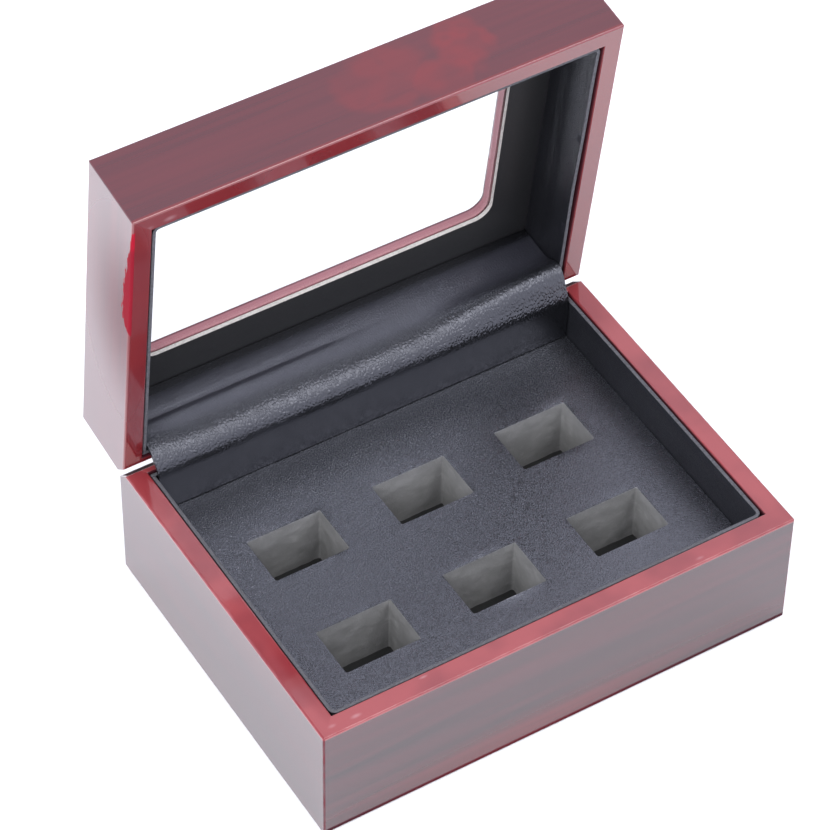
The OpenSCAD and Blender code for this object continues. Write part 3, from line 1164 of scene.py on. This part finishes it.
@dataclass(frozen=True)
class ClearPane:
    """A thin clear pane that lets the lamps through."""

    tint: Colour = (0.97, 0.985, 0.99, 1.0)

    def make(self) -> bpy.types.Material:
        """Build the material: glass to the eye, clear to the lamps."""
        finish = Finish.start("clear_pane")
        graph = finish.graph
        smear = graph.noise(finish.where, 30.0, 3.0)
        tint = graph.mix(graph.math("MULTIPLY", smear, 0.3), self.tint, grey(0.96))
        finish.set(Base_Color=tint, Roughness=0.0, IOR=1.46, Transmission_Weight=1.0)
        clear = graph.add("ShaderNodeBsdfTransparent").outputs[0]
        lamp = graph.add("ShaderNodeLightPath").outputs["Is Shadow Ray"]
        both = graph.add("ShaderNodeMixShader", {0: lamp, 1: finish.shader.outputs[0], 2: clear})
        graph.add("ShaderNodeOutputMaterial", {"Surface": both.outputs[0]}, is_active_output=True)
        return finish.material


@dataclass(frozen=True)
class SoftLamp:
    """A square soft light that stands off the box in one direction."""

    name: str
    way: Vector
    distance: float
    side: float
    power: float

    def hang(self, target: Vector) -> None:
        """Add the light, aimed at a point."""
        data = bpy.data.lights.new(self.name, "AREA")
        data.size = self.side
        data.energy = self.power
        lamp = bpy.data.objects.new(self.name, data)
        bpy.context.scene.collection.objects.link(lamp)
        lamp.location = target + self.way.normalized() * self.distance
        lamp.rotation_euler = (-self.way).to_track_quat("-Z", "Y").to_euler()
        lamp.visible_camera = False


@dataclass(frozen=True)
class Studio:
    """The camera where the photographer stood, a pale floor and soft light."""

    eye: Vector = Vector((-0.423446, -0.651761, 0.909239))
    turn_degrees: tuple[float, float, float] = (43.0503, -0.6941, -31.3624)
    lens_mm: float = 171.65
    floor_side: float = 14.0
    low_glow: float = 1.95
    high_glow: float = 1.04
    glow_tint: Colour = (0.925, 0.94, 1.06, 1.0)
    lamps: tuple[SoftLamp, ...] = (
        SoftLamp("front_right_lamp", Vector((0.36, -0.47, 0.81)), 1.8, 0.82, 12.5),
        SoftLamp("left_lamp", Vector((-0.6, -0.3, 0.74)), 1.8, 1.8, 31.5),
    )

    def set_camera(self) -> None:
        """Put the camera at the photograph's viewing angle."""
        data = bpy.data.cameras.new("camera")
        data.lens = self.lens_mm
        data.clip_start = 0.05
        data.clip_end = 40.0
        camera = bpy.data.objects.new("camera", data)
        camera.location = self.eye
        camera.rotation_euler = [math.radians(turn) for turn in self.turn_degrees]
        bpy.context.scene.collection.objects.link(camera)
        bpy.context.scene.camera = camera

    def lay_floor(self) -> None:
        """Lay the floor just under the felt."""
        bpy.ops.object.select_all(action="DESELECT")
        bpy.ops.mesh.primitive_plane_add(size=self.floor_side, location=(0, 0, -TOUCH))
        floor = named_piece("floor")
        finish = Finish.start("pale_floor")
        graph = finish.graph
        mottle = graph.noise(finish.where, 3.0, 2.0)
        tone = graph.mix(mottle, grey(0.93), grey(0.90, 1.01))
        paint(floor, [finish.set(Base_Color=tone, Roughness=0.9, Specular_IOR_Level=0.1)])

    def light_room(self) -> None:
        """Surround the box with white that is brighter low down."""
        world = bpy.data.worlds.new("white_room")
        world.use_nodes = True
        bpy.context.scene.world = world
        graph = Graph(world.node_tree)
        way = graph.add("ShaderNodeTexCoord").outputs["Generated"]
        height = graph.split(way)[2]
        glow = graph.remap(graph.span(height, 0.05, 0.65), self.low_glow, self.high_glow)
        room = graph.add("ShaderNodeBackground", {"Color": self.glow_tint, "Strength": glow})
        graph.add("ShaderNodeOutputWorld", {"Surface": room.outputs[0]})

    def build(self) -> None:
        """Set up the whole studio round the base."""
        self.set_camera()
        self.lay_floor()
        self.light_room()
        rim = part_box("base_front_panel")[1].z
        for lamp in self.lamps:
            lamp.hang(Vector((0, 0, rim)))
        bpy.context.scene.view_settings.view_transform = "Standard"
        LOG.info("studio: camera, floor and %d lamps", len(self.lamps))


@dataclass(frozen=True)
class WoodCase:
    """The lacquered walls, the board and the window frame, which the frame holds."""

    hinge: LidHinge
    # height of the painted contact shadow along the bottom of the front
    front_foot: float = 1.8 * MM
    base_coat: Lacquer = Lacquer(
        stain=(0.036, 0.0045, 0.0095, 1.0),
        light=(0.072, 0.0065, 0.0150, 1.0),
        dark=(0.017, 0.0036, 0.0090, 1.0),
        # the base rim is set brighter than the lid's, painted light on the rim that faces up
        rim=(0.262, 0.048, 0.053, 1.0),
        edge_glossy=-90 * MM,
        edge_matt=-85 * MM,
    )
    lid_coat: Lacquer = Lacquer(
        stain=(0.078, 0.0104, 0.0165, 1.0),
        light=(0.100, 0.0120, 0.0180, 1.0),
        dark=(0.060, 0.0092, 0.0155, 1.0),
        # the lid rim is set darker than the base's, painted shade on the rim that faces forward
        rim=(0.142, 0.0115, 0.0145, 1.0),
        edge=(0.23, 0.095, 0.115, 1.0),
        coat_density=1.67,
        edge_glossy=-30 * MM,
        edge_matt=25 * MM,
    )
    flames: tuple[Mark, ...] = (
        mark_at((34.0, FRONT, 58.5), (10.0, 20.0, 14.0), 0.8),
        mark_at((24.0, FRONT, 48.5), (10.0, 20.0, 8.0), 0.6),
        mark_at((7.0, FRONT, 58.0), (16.0, 20.0, 13.0), 0.45),
    )
    base_smudges: tuple[Mark, ...] = (
        mark_at((-67.9, -56.9, BASE_RIM), (2.4, 1.0, 0.8), 0.25),
        mark_at((-75.5, -56.6, BASE_RIM), (1.8, 0.9, 0.8), 0.18),
        mark_at((-44.5, -54.6, BASE_RIM), (1.9, 0.6, 0.8), 0.25),
        mark_at((24.2, -52.9, BASE_RIM), (1.2, 0.6, 0.8), 0.3),
        mark_at((47.6, -57.7, BASE_RIM), (2.0, 0.8, 0.8), 0.15),
    )
    lid_smudges: tuple[Mark, ...] = (
        mark_at((-68.3, -55.5, LID_RIM), (2.8, 1.3, 0.8), 0.22),
        mark_at((-74.6, -54.6, LID_RIM), (1.8, 1.2, 0.8), 0.12),
    )
    front_dull: tuple[Mark, ...] = (
        mark_at((0.0, FRONT, 3.0), (120.0, 3.0, 11.0), 0.12),
    )
    # deeper red low on the front, painted shade where the face mirrors the shaded floor at its foot
    front_low_shade: tuple[Mark, ...] = (
        mark_at((-15.0, FRONT, 5.0), (75.0, 3.0, 9.0), 0.35),
    )
    # deeper red on the left rim, painted shade where the rim mirrors dark parts of the open lid
    left_rim_shade: tuple[Mark, ...] = (
        mark_at((-76.0, 48.0, BASE_RIM), (8.0, 20.0, 2.0), 0.6),
        mark_at((-74.5, -38.0, BASE_RIM), (4.0, 26.0, 2.0), 0.6),
    )
    # deeper red at the rear of the right rim, painted shade where the rim mirrors the dark inside of the lid
    right_rim_shade: tuple[Mark, ...] = (
        mark_at((76.0, 48.0, BASE_RIM), (8.0, 20.0, 2.0), 0.6),
    )
    lid_faint: tuple[Mark, ...] = (
        mark_at((-77.0, -20.0, LID_RIM), (6.0, 60.0, 2.0), 0.7),
    )
    lid_dull: tuple[Mark, ...] = (
        mark_at((-80.0, -14.0, 48.0), (9.0, 52.0, 28.0), 0.5),
    )

    def bodies(self) -> dict[Body, WoodBody]:
        """The sizes of the base and of the shut lid."""
        low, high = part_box("base_front_panel")
        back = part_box("base_rear_panel")[1]
        lid_low, lid_high = self.hinge.shut_box("lid_front_panel")
        joint = (high.z + lid_low.z) / 2
        shift = self.hinge.shutting().to_translation()
        base = WoodBody(high.x, back.y, low.z, high.z, joint)
        lid = WoodBody(high.x, back.y, lid_low.z, lid_high.z, joint, self.hinge.swing, shift)
        return {Body.BASE: base, Body.LID: lid}

    def dress(self) -> None:
        """Give every wooden node its lacquer."""
        plans = {
            "base_front_panel": (
                Grain.ALONG_X,
                Marks(
                    smudges=self.base_smudges,
                    dull=self.front_dull,
                    shade_reds=self.front_low_shade,
                    foot=self.front_foot,
                ),
            ),
            "base_rear_panel": (Grain.ALONG_X, Marks()),
            "base_left_panel": (Grain.ALONG_Y, Marks(shade_reds=self.left_rim_shade)),
            "base_right_panel": (Grain.ALONG_Y, Marks(shade_reds=self.right_rim_shade)),
            "base_board": (Grain.ALONG_X, Marks()),
            "lid_front_panel": (Grain.ALONG_X, Marks(flames=self.flames, smudges=self.lid_smudges)),
            "lid_rear_panel": (Grain.ALONG_X, Marks()),
            "lid_left_panel": (
                Grain.ALONG_Y,
                Marks(worn=WornWedge(), dull=self.lid_dull, faint=self.lid_faint),
            ),
            "lid_right_panel": (Grain.ALONG_Y, Marks()),
            "lid_top_frame": (Grain.ALONG_X, Marks(sawn_inside=True)),
        }
        coats = {Body.BASE: self.base_coat, Body.LID: self.lid_coat}
        bodies = self.bodies()
        for node, (grain, marks) in plans.items():
            body = Body.LID if node.startswith("lid_") else Body.BASE
            dress_node(node, coats[body].make(f"{node}_lacquer", bodies[body], grain, marks))
        LOG.info("wood: %d pieces lacquered", len(plans))


@dataclass
class RingInsert:
    """The foam with its ring slots, the leatherette over it and the card under it."""

    front_bend: float = 1.5 * MM
    bend_steps: int = 6
    slot_clear: float = 0.3 * MM
    slot_round: float = 0.7 * MM
    cut_rows: int = 20
    cut_roughness: float = 0.55 * MM
    cut_lump: float = 3.2 * MM
    cover_round: float = 0.15 * MM
    cover_step: float = 4.0 * MM
    cover_wave: float = 0.25 * MM
    cover_wave_size: float = 22.0 * MM
    cloth: Leatherette = Leatherette(
        face=(0.0100, 0.0107, 0.0120, 1.0),
        worn=(0.0128, 0.0136, 0.0152, 1.0),
        grains_per_metre=1400.0,
        grain_depth=0.05 * MM,
        roughness=0.27,
        shine=1.0,
        uneven=0.05,
        density=1.77,
    )

    def slots(self) -> list[Box]:
        """The six slots in plan, from the record's openings."""
        grown = Vector((self.slot_clear, self.slot_clear, 0.0))
        found = []
        for opening in frame["record"]["physics"]["openings"]:
            if opening["name"].startswith("slot_"):
                low, high = (Vector(corner) for corner in opening["box_m"])
                found.append((low - grown, high + grown))
        return found

    def in_slot(self, point: Vector) -> bool:
        """Whether a point stands in a slot or on its wall."""
        return any(
            low.x - TOUCH < point.x < high.x + TOUCH and low.y - TOUCH < point.y < high.y + TOUCH
            for low, high in self.slots()
        )

    def slot_cutter(self) -> bpy.types.Object:
        """One block with rounded corners for each slot, joined."""
        base_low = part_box("ring_foam")[0]
        cover_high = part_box("foam_cover")[1]
        places = self.slots()
        first_low, first_high = places[0]
        past = Vector((0, 0, 2 * MM))
        low = Vector((first_low.x, first_low.y, base_low.z)) - past
        high = Vector((first_high.x, first_high.y, cover_high.z)) + past
        cutter = block("slot_cutter", low, high)
        with editing(cutter, Pick.EDGES):
            choose(cutter, Pick.EDGES, lambda edge: runs(edge, 2))
            bpy.ops.mesh.bevel(offset=self.slot_round, segments=4, affect="EDGES")
        first = len(cutter.data.polygons)
        for slot_low, _ in places[1:]:
            move = Vector((slot_low.x - first_low.x, slot_low.y - first_low.y, 0))
            with editing(cutter, Pick.FACES):
                choose(cutter, Pick.FACES, lambda face: face.index < first)
                bpy.ops.mesh.duplicate_move(TRANSFORM_OT_translate={"value": move})
        return cutter

    def slab(self, name: str, node: str) -> bpy.types.Object:
        """A slab with a CAD node's sizes, with the round front corners and the slots."""
        low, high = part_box(node)
        slab = block(name, low, high)
        with editing(slab, Pick.EDGES):
            choose(slab, Pick.EDGES, lambda edge: runs(edge, 2) and middle(edge).y < 0)
            bpy.ops.mesh.bevel(offset=self.front_bend, segments=self.bend_steps, affect="EDGES")
        cutter = self.slot_cutter()
        apply_modifier(slab, "BOOLEAN", operation="DIFFERENCE", object=cutter, solver="EXACT")
        bpy.data.objects.remove(cutter)
        return slab

    def foam(self) -> bpy.types.Object:
        """The foam block, with rough walls where the slots were cut."""
        foam = self.slab("ring_foam_block", "ring_foam")
        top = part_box("ring_foam")[1].z
        long_edge = 5 * MM
        with editing(foam, Pick.EDGES):
            choose(
                foam,
                Pick.EDGES,
                lambda edge: self.in_slot(middle(edge))
                and (runs(edge, 2) or runs(edge, 0, long_edge) or runs(edge, 1, long_edge)),
            )
            bpy.ops.mesh.subdivide(number_cuts=self.cut_rows)
        walls = group_vertices(
            foam,
            "slot_walls",
            lambda vertex: self.in_slot(vertex.co) and vertex.co.z < top - TOUCH,
        )
        apply_modifier(
            foam,
            "DISPLACE",
            texture=clouds("foam_cut", self.cut_lump, 3),
            strength=self.cut_roughness,
            mid_level=0.5,
            vertex_group=walls,
        )
        smooth(foam, 50.0)
        return foam

    def cover(self) -> bpy.types.Object:
        """The leatherette sheet, rounded at its slots and a little wavy."""
        cover = self.slab("insert_cover", "foam_cover")
        low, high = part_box("foam_cover")
        with editing(cover, Pick.EDGES):
            choose(cover, Pick.EDGES, lambda edge: level(edge, high.z) and self.in_slot(middle(edge)))
            bpy.ops.mesh.bevel(offset=self.cover_round, segments=2, affect="EDGES")
        with editing(cover, Pick.VERTICES):
            for axis in (0, 1):
                steps = int((high[axis] - low[axis]) / self.cover_step)
                across = Vector((1 - axis, axis, 0))
                for step in range(1, steps):
                    place = low + (high - low) * step / steps
                    bpy.ops.mesh.select_all(action="SELECT")
                    bpy.ops.mesh.bisect(plane_co=place, plane_no=across)
        top = group_vertices(cover, "top", lambda vertex: vertex.co.z > high.z - TOUCH)
        waves = clouds("cover_waves", self.cover_wave_size, 1)
        apply_modifier(
            cover,
            "DISPLACE",
            texture=waves,
            strength=self.cover_wave,
            mid_level=0.6,
            direction="Z",
            vertex_group=top,
        )
        smooth(cover, 30.0)
        return cover

    def build(self) -> None:
        """Make the insert, dress it and hand it over."""
        foam = self.foam()
        paint(foam, [Foam().make()])
        hand_over(foam, Body.BASE, Slot.FOAM, "ring_foam")
        cover = self.cover()
        backing = CutEdge("cover_backing", grey(0.16, 1.05), grey(0.3, 1.05)).make()
        paint(
            cover,
            [self.cloth.make("cover_leatherette"), backing],
            lambda face: self.in_slot(middle(face)) and abs(face.normal.z) < 0.4,
        )
        hand_over(cover, Body.BASE, Slot.LEATHERETTE, "foam_cover")
        dress_node("slot_floor_card", MattBlack("black_card", tone=grey(0.006), nap=grey(0.012)).make())


@dataclass
class Linings:
    """Leatherette on card, bent round the front corners, and a flat strip at the rear."""

    hinge: LidHinge
    bend: float = 1.2 * MM
    thickness: float = 1.2 * MM
    bend_steps: int = 8
    edge_round: float = 0.3 * MM
    wall_columns: int = 24
    wall_rows: int = 6
    long_edge: float = 9.0 * MM
    lid_bow: float = 0.6 * MM

    def bent(self, name: str, box: Box, rim: float, bow: float) -> bpy.types.Object:
        """The strip along the left, front and right walls.

        Args:
            name: The piece's name.
            box: The strip's lowest and highest corner.
            rim: The height of its raw edge.
            bow: How far its right side stands off the wall.

        Returns:
            The strip, with its thickness.
        """
        low, high = box
        bpy.ops.object.select_all(action="DESELECT")
        size = high - low
        centre = (low + high) / 2
        bpy.ops.mesh.primitive_plane_add(size=1.0, location=(centre.x, centre.y, low.z))
        bpy.context.object.scale = (size.x, size.y, 1)
        strip = named_piece(name)
        with editing(strip, Pick.FACES):
            bpy.ops.mesh.select_all(action="SELECT")
            bpy.ops.mesh.delete(type="ONLY_FACE")
        with editing(strip, Pick.EDGES):
            choose(strip, Pick.EDGES, lambda edge: middle(edge).y > high.y - TOUCH)
            bpy.ops.mesh.delete(type="EDGE")
            bpy.ops.mesh.select_all(action="SELECT")
            bpy.ops.mesh.extrude_edges_move(TRANSFORM_OT_translate={"value": (0, 0, size.z)})
        with editing(strip, Pick.EDGES):
            choose(strip, Pick.EDGES, lambda edge: runs(edge, 2) and middle(edge).y < low.y + TOUCH)
            bpy.ops.mesh.bevel(offset=self.bend + self.thickness, segments=self.bend_steps, affect="EDGES")
        with editing(strip, Pick.EDGES):
            choose(
                strip,
                Pick.EDGES,
                lambda edge: runs(edge, 0, self.long_edge) or runs(edge, 1, self.long_edge),
            )
            bpy.ops.mesh.subdivide(number_cuts=self.wall_columns)
        with editing(strip, Pick.EDGES):
            choose(strip, Pick.EDGES, lambda edge: runs(edge, 2))
            bpy.ops.mesh.subdivide(number_cuts=self.wall_rows)
        with editing(strip, Pick.FACES):
            bpy.ops.mesh.select_all(action="SELECT")
            bpy.ops.mesh.normals_make_consistent(inside=False)
        front = min(strip.data.polygons, key=lambda face: face.center.y)
        if front.normal.y > 0:
            strip.data.flip_normals()
        if bow:
            self.bow_in(strip, box, rim, bow)
        apply_modifier(strip, "SOLIDIFY", thickness=self.thickness, offset=-1.0, use_even_offset=True)
        self.soften(strip, rim)
        return strip

    def bow_in(self, strip: bpy.types.Object, box: Box, rim: float, bow: float) -> None:
        """Let the right side stand off its wall between the corner and the leather."""
        low, high = box
        for vertex in strip.data.vertices:
            if vertex.co.x < high.x - self.bend - self.thickness:
                continue
            along = (vertex.co.y - low.y) / (high.y - low.y)
            up = 1.0 - abs(vertex.co.z - rim) / (high.z - low.z)
            arch = max(math.sin(math.pi * along), 0.0) ** 0.8
            wave = arch * (0.75 + 0.25 * math.cos(3 * math.pi * along))
            vertex.co.x -= bow * wave * up

    def soften(self, strip: bpy.types.Object, rim: float) -> None:
        """Round the two long edges at the rim a little."""

        def at_rim(edge: bmesh.types.BMEdge) -> bool:
            """Whether a level face and an upright one meet at the edge, at the rim."""
            rises = [abs(face.normal.z) for face in edge.link_faces]
            return level(edge, rim) and max(rises) > 0.9 and min(rises) < 0.1

        with editing(strip, Pick.EDGES):
            choose(strip, Pick.EDGES, at_rim)
            bpy.ops.mesh.bevel(offset=self.edge_round, segments=3, affect="EDGES")
        smooth(strip, 40.0)

    def is_raw(self, face: object, rim: float) -> bool:
        """Whether a face belongs to the raw edge at the rim."""
        return abs(middle(face).z - rim) < self.edge_round and abs(face.normal.z) > 0.3

    def flat(self, name: str, box: Box, rim: float) -> bpy.types.Object:
        """The strip along the rear wall."""
        strip = block(name, *box)
        with editing(strip, Pick.EDGES):
            choose(strip, Pick.EDGES, lambda edge: runs(edge, 0))
            bpy.ops.mesh.subdivide(number_cuts=self.wall_columns)
        self.soften(strip, rim)
        return strip

    def build(self) -> None:
        """Make both linings of both bodies."""
        dark = Leatherette(
            face=(0.0060, 0.0062, 0.0078, 1.0),
            worn=(0.0085, 0.0088, 0.0110, 1.0),
            roughness=0.34,
            shine=0.7,
            ripple=1.1 * MM,
            ripple_turn=self.hinge.swing,
        )
        leather = {
            Body.BASE: Leatherette(
                face=(0.0078, 0.0080, 0.0100, 1.0),
                worn=(0.0105, 0.0108, 0.0132, 1.0),
                shine=0.6,
            ).make("base_lining_leatherette"),
            Body.LID: dark.make("lid_lining_leatherette"),
        }
        raw = CutEdge("lining_edge", grey(0.062, 1.12), grey(0.105, 1.12)).make()
        base_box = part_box("base_lining")
        lid_box = self.hinge.shut_box("lid_lining")
        rims = {Body.BASE: base_box[1].z, Body.LID: lid_box[0].z}
        base_rear = self.flat("rear_lining_of_base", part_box("base_rear_lining"), rims[Body.BASE])
        lid_rear = self.flat("rear_lining_of_lid", self.hinge.shut_box("lid_rear_lining"), rims[Body.LID])
        plans = (
            (self.bent("lining_of_base", base_box, rims[Body.BASE], 0.0), Body.BASE, "base_lining"),
            (base_rear, Body.BASE, "base_rear_lining"),
            (self.bent("lining_of_lid", lid_box, rims[Body.LID], self.lid_bow), Body.LID, "lid_lining"),
            (lid_rear, Body.LID, "lid_rear_lining"),
        )
        for strip, body, node in plans:
            paint(
                strip,
                [leather[body], raw],
                lambda face, rim=rims[body]: self.is_raw(face, rim),
            )
            if body is Body.LID:
                self.hinge.open_up(strip)
            hand_over(strip, body, Slot.LEATHERETTE, node)


@dataclass
class LeatherRoll:
    """The soft leather that runs from the insert over the hinges and up the open lid."""

    hinge: LidHinge
    radius: float = 8.0 * MM
    thickness: float = 1.2 * MM
    step: float = 0.8 * MM
    end_reach: float = 55.0 * MM
    high_lift: float = 3.8 * MM
    high_half: float = 4.2 * MM
    left_lift: float = 0.9 * MM
    left_reach: float = 10.0 * MM
    left_half: float = 4.0 * MM
    belly: float = 0.4 * MM
    belly_reach: float = 4.5 * MM
    crease_depth: float = 0.6 * MM
    crease_half: float = 0.9 * MM
    crease_up: float = 8.8 * MM
    crease_end: float = -6.0 * MM
    crease_fade: float = 7.0 * MM
    shoulder_lift: float = 0.18 * MM
    shoulder_down: float = 3.2 * MM
    shoulder_half: float = 2.2 * MM
    glued_end: float = 4.0 * MM
    bend_early: float = 3.0 * MM
    wrinkle: float = 0.3 * MM
    uv_map: str = "FlatCut"
    half: float = field(init=False)
    centre_y: float = field(init=False)
    centre_z: float = field(init=False)
    base_run: float = field(init=False)
    arc_run: float = field(init=False)
    lid_run: float = field(init=False)
    length: float = field(init=False)

    def __post_init__(self) -> None:
        """Work out the section from the CAD strip that it replaces."""
        low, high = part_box("hinge_roll")
        self.half = high.x
        self.centre_y = low.y + self.radius
        slope = math.tan(self.hinge.swing / 2)
        self.centre_z = self.hinge.pivot.z - (self.centre_y - self.hinge.pivot.y) * slope
        self.base_run = self.centre_z - low.z
        inner = (self.radius - self.thickness) * math.cos(self.hinge.swing)
        self.lid_run = (high.y - self.centre_y + inner) / math.sin(self.hinge.swing)
        self.arc_run = self.radius * self.hinge.swing
        self.length = self.base_run + self.arc_run + self.lid_run

    def section(self, run: float) -> tuple[Vector, Vector]:
        """A point of the section's face and the way out of it.

        Args:
            run: The distance along the leather, up from the insert.

        Returns:
            The point and the outward way, both at x = 0.
        """
        turned = min(max((run - self.base_run) / self.radius, 0.0), self.hinge.swing)
        out = Vector((0, -math.cos(turned), math.sin(turned)))
        onward = Vector((0, math.sin(turned), math.cos(turned)))
        past = min(run - self.base_run, 0.0) + max(run - self.base_run - self.arc_run, 0.0)
        centre = Vector((0, self.centre_y, self.centre_z))
        return centre + out * self.radius + onward * past, out

    def lift(self, x: float, run: float) -> float:
        """How far the leather stands off its plain section.

        Args:
            x: The place across the leather.
            run: The distance along the leather, up from the insert.

        Returns:
            The distance, outwards.
        """
        start = self.half - self.end_reach
        right = eased(min(max((x - start) / self.end_reach, 0.0), 1.0))
        arc = run - self.base_run
        rise = max(1.0 + arc / self.base_run, 0.0)
        belly = eased(rise) if arc < 0 else bell(arc, self.belly_reach)
        above = arc - self.arc_run
        high = self.high_lift * bell(above, self.high_half)
        left = self.left_lift * bell(x + self.half, self.left_reach) * bell(above, self.left_half)
        off = above - self.crease_up
        fade = 1.0 / (1.0 + math.exp((x - self.crease_end) / self.crease_fade))
        crease = -self.crease_depth * bell(off, self.crease_half)
        shoulder = self.shoulder_lift * bell(off + self.shoulder_down, self.shoulder_half)
        return right * high + left + fade * (crease + shoulder) + self.belly * belly

    def leather(self) -> bpy.types.Object:
        """The leather, from a flat cut laid along the section."""
        columns = int(2 * self.half / self.step)
        rows = int(self.length / self.step)
        bpy.ops.object.select_all(action="DESELECT")
        bpy.ops.mesh.primitive_grid_add(x_subdivisions=columns, y_subdivisions=rows, size=1.0)
        bpy.context.object.scale = (2 * self.half, self.length, 1)
        roll = named_piece("leather_roll")
        flat = [vertex.co.copy() for vertex in roll.data.vertices]
        layer = roll.data.uv_layers[0]
        layer.name = self.uv_map
        for loop in roll.data.loops:
            layer.data[loop.index].uv = flat[loop.vertex_index].xy
        for vertex, cut in zip(roll.data.vertices, flat):
            run = cut.y + self.length / 2
            point, out = self.section(run)
            vertex.co = point + out * self.lift(cut.x, run) + Vector((cut.x, 0, 0))
        loose = self.length / 2 - self.glued_end
        free = group_vertices(roll, "free", lambda vertex: abs(flat[vertex.index].y) < loose)
        folds = clouds("leather_folds", 16 * MM, 2)
        apply_modifier(
            roll,
            "DISPLACE",
            texture=folds,
            strength=self.wrinkle,
            mid_level=0.5,
            vertex_group=free,
        )
        apply_modifier(roll, "SOLIDIFY", thickness=self.thickness, offset=-1.0, use_even_offset=True)
        smooth(roll, 60.0)
        return roll

    def build(self) -> None:
        """Make the roll, shaped over the hinges, and dress it."""
        roll = self.leather()
        paint(roll, [SoftLeather().make(self.uv_map)])
        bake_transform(roll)
        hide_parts("hinge_roll")
        LOG.info("leather_roll: %d faces, bent between the base and the lid", len(roll.data.polygons))


@dataclass
class Window:
    """The pane and the faced card that holds it."""

    hinge: LidHinge
    corner: float = 5.7 * MM
    corner_steps: int = 10
    edge_round: float = 0.15 * MM

    def card(self) -> bpy.types.Object:
        """The card ring, with its round-cornered opening."""
        low, high = self.hinge.shut_box("pane_retainer")
        inset = 3 * MM
        rim = [
            point
            for point in self.hinge.shut_points("pane_retainer")
            if abs(point.x) < high.x - inset and abs(point.y) < high.y - inset
        ]
        start = Vector((min(point.x for point in rim), min(point.y for point in rim), 0))
        end = Vector((max(point.x for point in rim), max(point.y for point in rim), 0))

        def in_window(part: object) -> bool:
            """Whether the middle of an edge or a face lies in the window or on its rim."""
            point = middle(part)
            across = start.x - TOUCH < point.x < end.x + TOUCH
            return across and start.y - TOUCH < point.y < end.y + TOUCH

        card = block("window_card", low, high)
        past = 2 * MM
        cutter = block(
            "window_cutter",
            Vector((start.x, start.y, low.z - past)),
            Vector((end.x, end.y, high.z + past)),
        )
        with editing(cutter, Pick.EDGES):
            choose(cutter, Pick.EDGES, lambda edge: runs(edge, 2))
            bpy.ops.mesh.bevel(offset=self.corner, segments=self.corner_steps, affect="EDGES")
        apply_modifier(card, "BOOLEAN", operation="DIFFERENCE", object=cutter, solver="EXACT")
        bpy.data.objects.remove(cutter)
        with editing(card, Pick.EDGES):
            choose(
                card,
                Pick.EDGES,
                lambda edge: level(edge, low.z)
                and in_window(edge)
                and len(edge.link_faces) == 2
                and any(abs(face.normal.z) < 0.5 for face in edge.link_faces),
            )
            bpy.ops.mesh.bevel(offset=self.edge_round, segments=2, affect="EDGES")
        smooth(card, 30.0)
        face = MattBlack(
            "card_face",
            tone=grey(0.0100, 1.08),
            nap=grey(0.0140, 1.08),
            roughness=0.5,
            nap_depth=0.012 * MM,
            shine=0.35,
        )
        raw = CutEdge("card_edge", (0.47, 0.44, 0.42, 1.0), (0.35, 0.33, 0.31, 1.0))
        paint(
            card,
            [face.make(), raw.make()],
            lambda part: abs(part.normal.z) < 0.3 and in_window(part),
        )
        self.hinge.open_up(card)
        return card

    def build(self) -> None:
        """Make the card and clear the pane."""
        hand_over(self.card(), Body.LID, Slot.FACED_CARD, "pane_retainer")
        dress_node("window_pane", ClearPane().make())


@dataclass
class BaseFelt:
    """The felt under the box."""

    corner: float = 1.2 * MM
    edge_round: float = 0.3 * MM

    def build(self) -> None:
        """Make the felt and hand it over."""
        low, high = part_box("base_felt")
        felt = block("felt_sheet", low, high)
        with editing(felt, Pick.EDGES):
            choose(felt, Pick.EDGES, lambda edge: runs(edge, 2))
            bpy.ops.mesh.bevel(offset=self.corner, segments=5, affect="EDGES")
        with editing(felt, Pick.EDGES):
            choose(felt, Pick.EDGES, lambda edge: level(edge, low.z))
            bpy.ops.mesh.bevel(offset=self.edge_round, segments=3, affect="EDGES")
        smooth(felt, 40.0)
        pile = MattBlack(
            "black_felt",
            tone=grey(0.012),
            nap=grey(0.035),
            roughness=0.95,
            nap_depth=0.12 * MM,
            sheen=0.3,
        )
        paint(felt, [pile.make()])
        hand_over(felt, Body.BASE, Slot.FELT, "base_felt")


class Hinges:
    """The two butt hinges, which the frame holds."""

    def dress(self) -> None:
        """Give every hinge node its brass."""
        brass = Brass().make()
        nodes = [name for name in frame["nodes"] if name.startswith("hinge_") and name != "hinge_roll"]
        for node in nodes:
            dress_node(node, brass)
        LOG.info("hinges: %d pieces of brass", len(nodes))


def main() -> None:
    """Build the studio, dress the frame and make each piece in turn."""
    logging.basicConfig(level=logging.INFO, format="%(message)s")
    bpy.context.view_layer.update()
    hinge = LidHinge.from_frame()
    Studio().build()
    WoodCase(hinge).dress()
    RingInsert().build()
    Linings(hinge).build()
    LeatherRoll(hinge).build()
    Window(hinge).build()
    BaseFelt().build()
    Hinges().dress()


if __name__ == "__main__":
    main()
